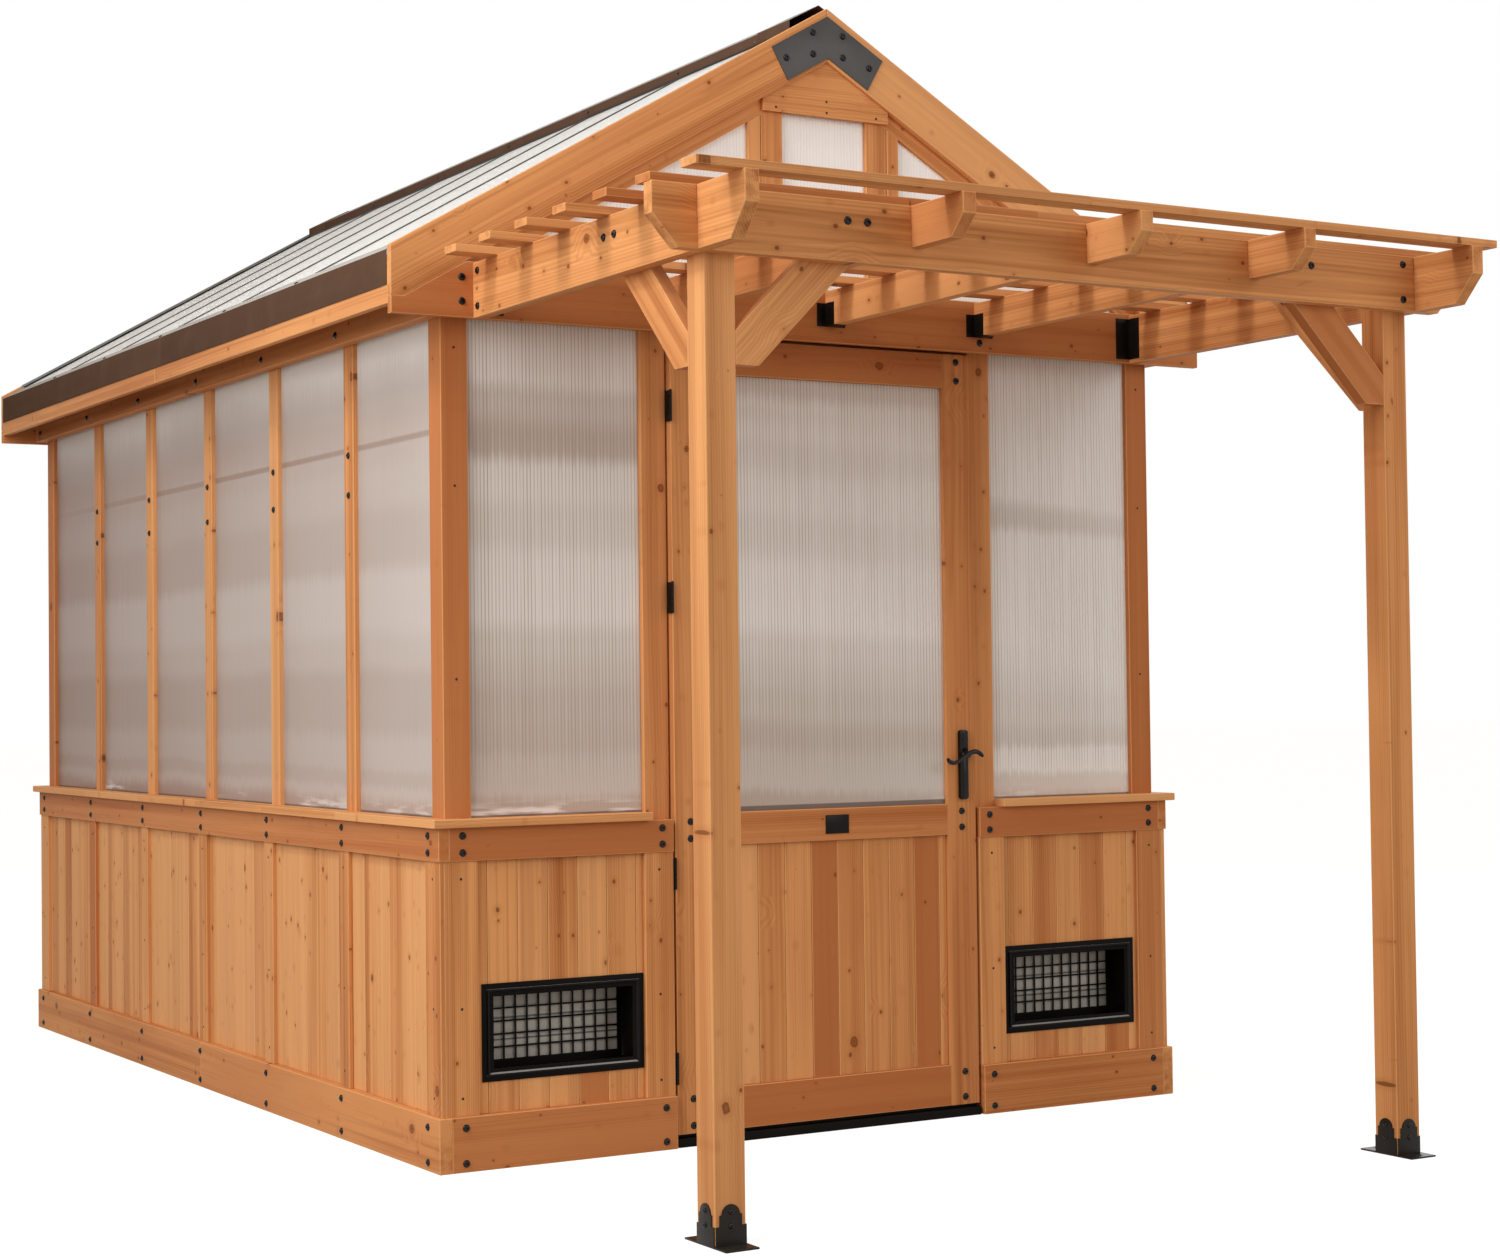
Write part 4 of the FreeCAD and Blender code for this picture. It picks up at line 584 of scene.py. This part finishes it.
def metalwork(node, finish, body, slot, arris):
    """Folded, cut or cast metal: a node's solids with their sharp edges rounded off."""
    stock = Stock()
    for triangles in solids_of(node):
        bm = joined_solid(triangles)
        edge_wear_and_highlight = ease(bm, arris)
        stock.add([v.co for v in bm.verts], [[v.index for v in f.verts] for f in bm.faces], edge_wear_and_highlight=edge_wear_and_highlight)
        bm.free()
    return stock.piece("metal_" + node, finish, body, slot, node, smooth=40)


brown = (0.108, 0.060, 0.040, 1)
brown_rubbed = (0.140, 0.082, 0.056, 1)
# The flashings and trims have their up-facing faces painted pale grey: a painted reflection of the sky.
brown_paint = coat_finish("brown_painted_aluminium", brown, brown_rubbed, 0.46, 0.0, 0.85)
grey_paint = coat_finish("grey_trim", (0.245, 0.232, 0.220, 1), (0.31, 0.30, 0.28, 1), 0.40, 0.10, 0.6)
strip_paint = coat_finish("dark_joint_strip", (0.050, 0.038, 0.030, 1), (0.09, 0.075, 0.065, 1), 0.5)
metalwork("eave_flashings", brown_paint, "house", "brown_flashing", 0.0006)
metalwork("ridge_cap", brown_paint, "house", "brown_flashing", 0.0006)
metalwork("rear_rake_trims", grey_paint, "house", "grey_trim", 0.0006)
metalwork("roof_joint_strips", strip_paint, "house", "dark_strip", 0.0006)


# Painted shade as a dark bead. A thin black bead, a little uneven, lies in the corner under each lip of
# the ridge cap and along the front edge of each rear trim, standing for the shade in those corners.
def bead(stock, start, end, wall, sheet, width):
    """Adds a dark bead in the corner between a wall and a sheet, a little uneven along its run, standing
    for the shade there.
    """
    if sheet.cross(wall).dot(end - start) < 0:
        start, end = end, start
    wobble_spacing = 0.06
    steps = round((end - start).length / wobble_spacing)
    section = [(0, 0), (1, 0), (0.85, 0.45), (0.45, 0.85), (0, 1)]
    points, faces = [], []
    for step in range(steps + 1):
        bead_reach = width * bead_wobble.uniform(0.85, 1.15)
        spot = start.lerp(end, step / steps)
        points += [spot + sheet * bead_reach * out + wall * bead_reach * rise for out, rise in section]
    corners = len(section)
    for step in range(steps):
        for corner in range(corners):
            a, b = step * corners + corner, step * corners + (corner + 1) % corners
            faces.append((a, b, b + corners, a + corners))
    faces.append(tuple(reversed(range(corners))))
    faces.append(tuple(steps * corners + corner for corner in range(corners)))
    stock.add(points, faces)


# Painted shade: the black bead stands for the shade in the corners under the lips and trims.
shadow_bead_finish = coat_finish("black_shadow_bead", (0.008, 0.007, 0.006, 1), (0.020, 0.017, 0.015, 1), 0.45, 0.10)
bead_wobble = random.Random("sealant")
roof_slope = math.radians(30)
bead_width = 0.0055
trim_length = 1.21
# Distance out from the ridge, height, front end and rear end of each run under the cap.
cap_runs = [
    (0.0880, 2.8148, -0.885, 2.168),
    (0.0903, 2.8135, -1.045, -0.890),
    (0.0903, 2.8135, 2.172, 2.300),
]
stock = Stock()
for side in (-1, 1):
    down = Vector((side * math.cos(roof_slope), 0, -math.sin(roof_slope)))
    off_sheet = Vector((side * math.sin(roof_slope), 0, math.cos(roof_slope)))
    for out, z, front_end, rear_end in cap_runs:
        start, end = Vector((side * out, front_end, z)), Vector((side * out, rear_end, z))
        bead(stock, start, end, Vector((0, 0, 1)), down, bead_width)
    trim_head = Vector((side * 0.0965, 2.3065, 2.8098))
    bead(stock, trim_head, trim_head + down * trim_length, off_sheet, Vector((0, -1, 0)), bead_width)
stock.piece("dark_shadow_beads", shadow_bead_finish, "house", "black_seal", smooth=60)

# Steel brackets. Black powder-coated plates: gussets at the gable peaks, joist hangers and angles
# under the porch, and footings under its posts.
plate_black = (0.038, 0.034, 0.031, 1)
plate_rubbed = (0.085, 0.077, 0.071, 1)
plate_coat = coat_finish("satin_black_plate", plate_black, plate_rubbed, 0.40, 0.35)
steel_black = (0.006, 0.005, 0.004, 1)
steel_rubbed = (0.012, 0.010, 0.008, 1)
black_coat = coat_finish("black_powder_coat", steel_black, steel_rubbed, 0.28, 0.10)
footing_brown = (0.013, 0.010, 0.007, 1)
footing_rubbed = (0.034, 0.028, 0.021, 1)
footing_coat = coat_finish("brown_black_powder_coat", footing_brown, footing_rubbed, 0.34, 0.14)
metalwork("gusset_plates", plate_coat, "house", "black_steel", 0.0008)
metalwork("post_base_brackets", footing_coat, "house", "black_steel", 0.0008)
metalwork("pergola_brackets", black_coat, "house", "black_steel", 0.0008)


# Bolts and screws. Black domed heads with a washer lip and a six-sided socket, through the joints
# of the frame. Small ones hold the vents, footings, flashings and the ridge cap.
def heads_of(node):
    """Centre of the seat, outward direction, radius and rise of each head in a node."""
    heads = []
    for triangles in solids_of(node):
        areas = {}
        for triangle in triangles:
            a, b, c = (point for place, point in triangle)
            normal = (b - a).cross(c - a)
            if normal.length > 1e-12:
                key = tuple(round(n, 2) for n in normal.normalized())
                area, _ = areas.get(key, (0, None))
                areas[key] = (area + normal.length, normal.normalized())
        outward = -max(areas.values(), key=lambda found: found[0])[1]
        points = [point for triangle in triangles for place, point in triangle]
        low = min(p.dot(outward) for p in points)
        high = max(p.dot(outward) for p in points)
        rim = [p for p in points if p.dot(outward) < low + 1e-5]
        centre = Vector([(min(p[i] for p in rim) + max(p[i] for p in rim)) / 2 for i in range(3)])
        heads.append((centre, outward, max((p - centre).length for p in rim), high - low))
    return heads


def lathe(stock, centre, outward, rings, sides=24):
    """Turns a profile about an axis. Each ring is a radius, or a function of the angle, and a height."""
    turn = outward.to_track_quat("Z", "Y").to_matrix()
    points, faces = [], []
    for radius, height in rings:
        for step in range(sides):
            angle = 2 * math.pi * step / sides
            reach = radius(angle) if callable(radius) else radius
            spot = Vector((math.cos(angle) * reach, math.sin(angle) * reach, height))
            points.append(centre + turn @ spot)
    for level in range(len(rings) - 1):
        for step in range(sides):
            a, b = level * sides + step, level * sides + (step + 1) % sides
            faces.append((a, b, b + sides, a + sides))
    faces.append(tuple((len(rings) - 1) * sides + step for step in range(sides)))
    faces.append(tuple(reversed(range(sides))))
    stock.add(points, faces)


def bolt_head(stock, centre, outward, radius, rise):
    """Adds one domed head: washer lip, dome, and a hexagon socket sunk in the crown."""
    def socket(angle):
        sixth = (angle + math.pi / 6) % (math.pi / 3) - math.pi / 6
        return 0.36 * radius * math.cos(math.pi / 6) / math.cos(sixth)

    lip = [(1.0, 0.0), (1.0, 0.12)]
    dome = lip + [(0.97, 0.32), (0.90, 0.53), (0.79, 0.72), (0.65, 0.87), (0.50, 0.96), (0.40, 0.99)]
    rings = [(radius * share, rise * height) for share, height in dome]
    lathe(stock, centre, outward, rings + [(socket, rise * 0.94), (socket, rise * 0.35)])


oxide_black = (0.006, 0.004, 0.003, 1)
oxide_rubbed = (0.011, 0.008, 0.006, 1)
bolt_black = coat_finish("black_oxide_bolt", oxide_black, oxide_rubbed, 0.12, 0.22)
for node, body in (("frame_bolts", "house"), ("door_bolts", "door")):
    stock = Stock()
    for centre, outward, radius, rise in heads_of(node):
        bolt_head(stock, centre, outward, radius, rise)
    stock.piece("heads_" + node, bolt_black, body, "black_steel", node, smooth=35)

screw_out, screw_height = 0.088, 2.832
screw_radius, screw_rise = 0.0045, 0.0025
strip_lines = set()
for triangles in solids_of("roof_joint_strips"):
    along = [point.y for triangle in triangles for place, point in triangle]
    strip_lines.add(round(sum(along) / len(along), 3))
stock = Stock()
for y in sorted(strip_lines):
    for side in (-1, 1):
        seat = Vector((side * screw_out, y, screw_height))
        bolt_head(stock, seat, Vector((side, 0, 0)), screw_radius, screw_rise)
stock.piece("ridge_screws", bolt_black, "house", "black_steel", smooth=35)


# Nails. Dark finishing nails with small flat heads hold the battens, the corner posts and the board
# under each gable peak.
def span(triangles):
    """Low and high corners of a solid's box."""
    points = [p for triangle in triangles for place, p in triangle]
    return [Vector([pick(p[i] for p in points) for i in range(3)]) for pick in (min, max)]


nail_steel = coat_finish("dark_nail", (0.030, 0.014, 0.008, 1), (0.060, 0.032, 0.020, 1), 0.5)
nail_rings = [(0.0034, 0.0), (0.0034, 0.0003), (0.0024, 0.0008)]
nail_sides = 10
batten_shares = (0.07, 0.42, 0.93)
post_heights = (1.95, 1.62, 1.16)
peak_shares = ((-0.8, 0.08), (0, 0.08), (0, 0.28), (0.8, 0.08))
stock = Stock()
for triangles in solids_of("siding_battens"):
    low, high = span(triangles)
    middle = (low + high) / 2
    side_wall = high.x - low.x < high.y - low.y
    if side_wall:
        outward = Vector((math.copysign(1, middle.x), 0, 0))
        reach = (high.x - low.x) / 2
    else:
        outward = Vector((0, math.copysign(1, middle.y), 0))
        reach = (high.y - low.y) / 2
    for share in batten_shares:
        spot = Vector((middle.x, middle.y, low.z + (high.z - low.z) * share)) + outward * reach
        lathe(stock, spot, outward, nail_rings, nail_sides)
for triangles in solids_of("corner_posts"):
    low, high = span(triangles)
    middle = (low + high) / 2
    front = math.copysign(1, middle.y)
    face_y = high.y if front > 0 else low.y
    for z in post_heights:
        lathe(stock, Vector((middle.x, face_y, z)), Vector((0, front, 0)), nail_rings, nail_sides)
for triangles in solids_of("gable_frames"):
    low, high = span(triangles)
    middle = (low + high) / 2
    if abs(middle.x) < 0.01 and high.z > 2.72:
        front = math.copysign(1, middle.y)
        face_y = high.y if front > 0 else low.y
        for x, z in peak_shares:
            spot = Vector((x * high.x, face_y, low.z + z * (high.z - low.z)))
            lathe(stock, spot, Vector((0, front, 0)), nail_rings, nail_sides)
stock.piece("finishing_nails", nail_steel, "house", "black_steel", smooth=35)

# Vents. A black moulded frame with a raised lip, its up-facing faces painted pale as a painted highlight,
# is screwed over each opening in the front boarding; a wire grille stands back in its sleeve, with three
# grey mesh louvres behind, painted with dark lines of shade where their blades overlap.
vent_black = coat_finish("black_moulding", (0.004, 0.003, 0.002, 1), (0.007, 0.005, 0.004, 1), 0.34, 0.05)
metalwork("vent_frames", vent_black, "house", "vent_plastic", 0.0012)
dress("vent_grilles", vent_black)
lip_black = coat_finish("black_lip", (0.005, 0.004, 0.003, 1), (0.010, 0.008, 0.007, 1), 0.26, 0.10, 0.60)
border = 0.0203
lip_profile = [(-0.0010, 0.0), (-0.0010, 0.0010), (0.0025, 0.0045), (0.0070, 0.0045), (0.0070, 0.0)]
stock = Stock()
for triangles in solids_of("vent_frames"):
    low, high = span(triangles)
    points, faces = [], []
    for offset, proud in lip_profile:
        for x, z in ((-1, -1), (1, -1), (1, 1), (-1, 1)):
            edge_x = (low.x if x < 0 else high.x) - x * (border - offset)
            edge_z = (low.z if z < 0 else high.z) - z * (border - offset)
            points.append((edge_x, low.y - proud, edge_z))
    for level in range(len(lip_profile)):
        ahead = (level + 1) % len(lip_profile)
        for corner in range(4):
            beside = (corner + 1) % 4
            faces.append((level * 4 + corner, ahead * 4 + corner, ahead * 4 + beside, level * 4 + beside))
    stock.add(points, faces)
stock.piece("vent_lips", lip_black, "house", "vent_plastic")

louvre_mesh, tree = new_finish("grey_mesh_louvre")
place = tree.node("TexCoord", {}, {}, "Object")
mesh_pitch = 0.0022
thread = None
for axis in ("X", "Z"):
    run = tree.node("SeparateXYZ", {}, {0: place}, axis) / mesh_pitch
    line = ((run.math("FRACT") - 0.5).math("ABSOLUTE") * 2).step(0.45, 0.75)
    thread = line if thread is None else thread.math("MAXIMUM", line)
fluff = noise(tree, place, (60, 60, 60), 3)
grey = (thread * 0.8).blend((0.30, 0.275, 0.245, 1), (0.60, 0.56, 0.51, 1))
grey = (fluff.step(0.45, 0.8) * 0.3).blend(grey, (0.42, 0.37, 0.32, 1))
height = tree.node("SeparateXYZ", {}, {0: place}, "Z")
# Painted shade: dark lines across the louvres where their blades overlap.
overlap_shade_heights = (0.343, 0.291)
overlap_shade_brown = (0.020, 0.016, 0.013, 1)
for overlap_height in overlap_shade_heights:
    overlap_shade = 1 - (height - overlap_height).math("ABSOLUTE").step(0.0016, 0.0034)
    grey = (overlap_shade * 0.75).blend(grey, overlap_shade_brown)
bump = tree.node("Bump", {}, {"Height": thread, "Strength": 0.4, "Distance": 0.0005})
sockets = {"Base Color": grey, "Roughness": 0.62 + (fluff - 0.5) * 0.2, "Normal": bump}
tree.node("OutputMaterial", {}, {"Surface": tree.node("BsdfPrincipled", {}, sockets)})
for side in ("left", "right"):
    for row in (1, 2, 3):
        metalwork(f"louvre_{side}_{row}", louvre_mesh, f"louvre_{side}_{row}", "louvre_grey", 0.0005)

# Door furniture. A satin black latch plate and a forged wave-shaped lever on each face of the door,
# five-knuckle butt hinges, a bare name plate, and rubber along the foot and over the threshold.
enamel_black = (0.005, 0.004, 0.003, 1)
enamel_rubbed = (0.012, 0.010, 0.008, 1)
latch_black = coat_finish("satin_black_enamel", enamel_black, enamel_rubbed, 0.20, 0.20)
rubber = coat_finish("black_rubber", (0.004, 0.003, 0.002, 1), (0.014, 0.010, 0.008, 1), 0.60, 0.06)
metalwork("latch_plates", latch_black, "door", "latch_black", 0.0022)
metalwork("name_plate", black_coat, "door", "black_steel", 0.0004)
metalwork("door_hinges", black_coat, "door", "black_steel", 0.0004)
metalwork("frame_hinges", black_coat, "house", "black_steel", 0.0004)
metalwork("strike_plate", black_coat, "house", "black_steel", 0.0004)
metalwork("latch_bolt", black_coat, "latch", "black_steel", 0.0008)
metalwork("threshold", rubber, "house", "black_seal", 0.0015)
metalwork("door_sweep", rubber, "door", "black_seal", 0.0010)

# Along the lever, from its curled tip past the spindle at 0: place across and up, and half height.
lever_curve = [
    (-0.066, -0.007, 0.0026),
    (-0.064, -0.013, 0.0052),
    (-0.057, -0.018, 0.0058),
    (-0.045, -0.020, 0.0050),
    (-0.032, -0.016, 0.0050),
    (-0.016, -0.007, 0.0060),
    (0.000, 0.002, 0.0068),
    (0.016, 0.008, 0.0064),
    (0.030, 0.007, 0.0062),
    (0.041, 0.000, 0.0056),
    (0.046, -0.005, 0.0030),
]
spindle = Vector((0.413, 0, 0.950))
lever_faces = [(-1.0935, -1), (-0.9835, 1)]
arm_inset, arm_half_depth, arm_sides, arm_steps = 0.0052, 0.0050, 16, 5
hub_inset = 0.0235
hub = [
    (0.0105, 0.0),
    (0.0105, 0.004),
    (0.0085, 0.006),
    (0.0075, 0.012),
    (0.0080, 0.018),
    (0.0070, 0.021),
]
stock = Stock()
for face_y, way in lever_faces:
    stations = []
    for i in range(len(lever_curve) - 1):
        near = [Vector(lever_curve[max(0, min(len(lever_curve) - 1, i + k))]) for k in (-1, 0, 1, 2)]
        for step in range(arm_steps):
            t = step / arm_steps
            bend = 2 * near[1] + (near[2] - near[0]) * t
            bend += (2 * near[0] - 5 * near[1] + 4 * near[2] - near[3]) * t * t
            bend += (3 * near[1] - near[0] - 3 * near[2] + near[3]) * t * t * t
            stations.append(bend / 2)
    stations.append(Vector(lever_curve[-1]))
    points, faces = [], []
    for i, (x, z, half) in enumerate(stations):
        ahead, behind = stations[min(i + 1, len(stations) - 1)], stations[max(i - 1, 0)]
        rise = Vector((behind.y - ahead.y, 0, ahead.x - behind.x)).normalized()
        centre = spindle + Vector((x, face_y - way * arm_inset, z))
        for step in range(arm_sides):
            angle = 2 * math.pi * step / arm_sides
            depth = Vector((0, arm_half_depth * math.sin(angle), 0))
            points.append(centre + rise * half * math.cos(angle) + depth)
    for i in range(len(stations) - 1):
        for step in range(arm_sides):
            a, b = i * arm_sides + step, i * arm_sides + (step + 1) % arm_sides
            faces.append((a, a + arm_sides, b + arm_sides, b))
    faces.append(tuple(range(arm_sides)))
    faces.append(tuple((len(stations) - 1) * arm_sides + step for step in reversed(range(arm_sides))))
    stock.add(points, faces)
    lathe(stock, spindle + Vector((0, face_y - way * hub_inset, 0)), Vector((0, way, 0)), hub)
stock.piece("wave_levers", latch_black, "lever", "latch_black", "door_levers", smooth=50)
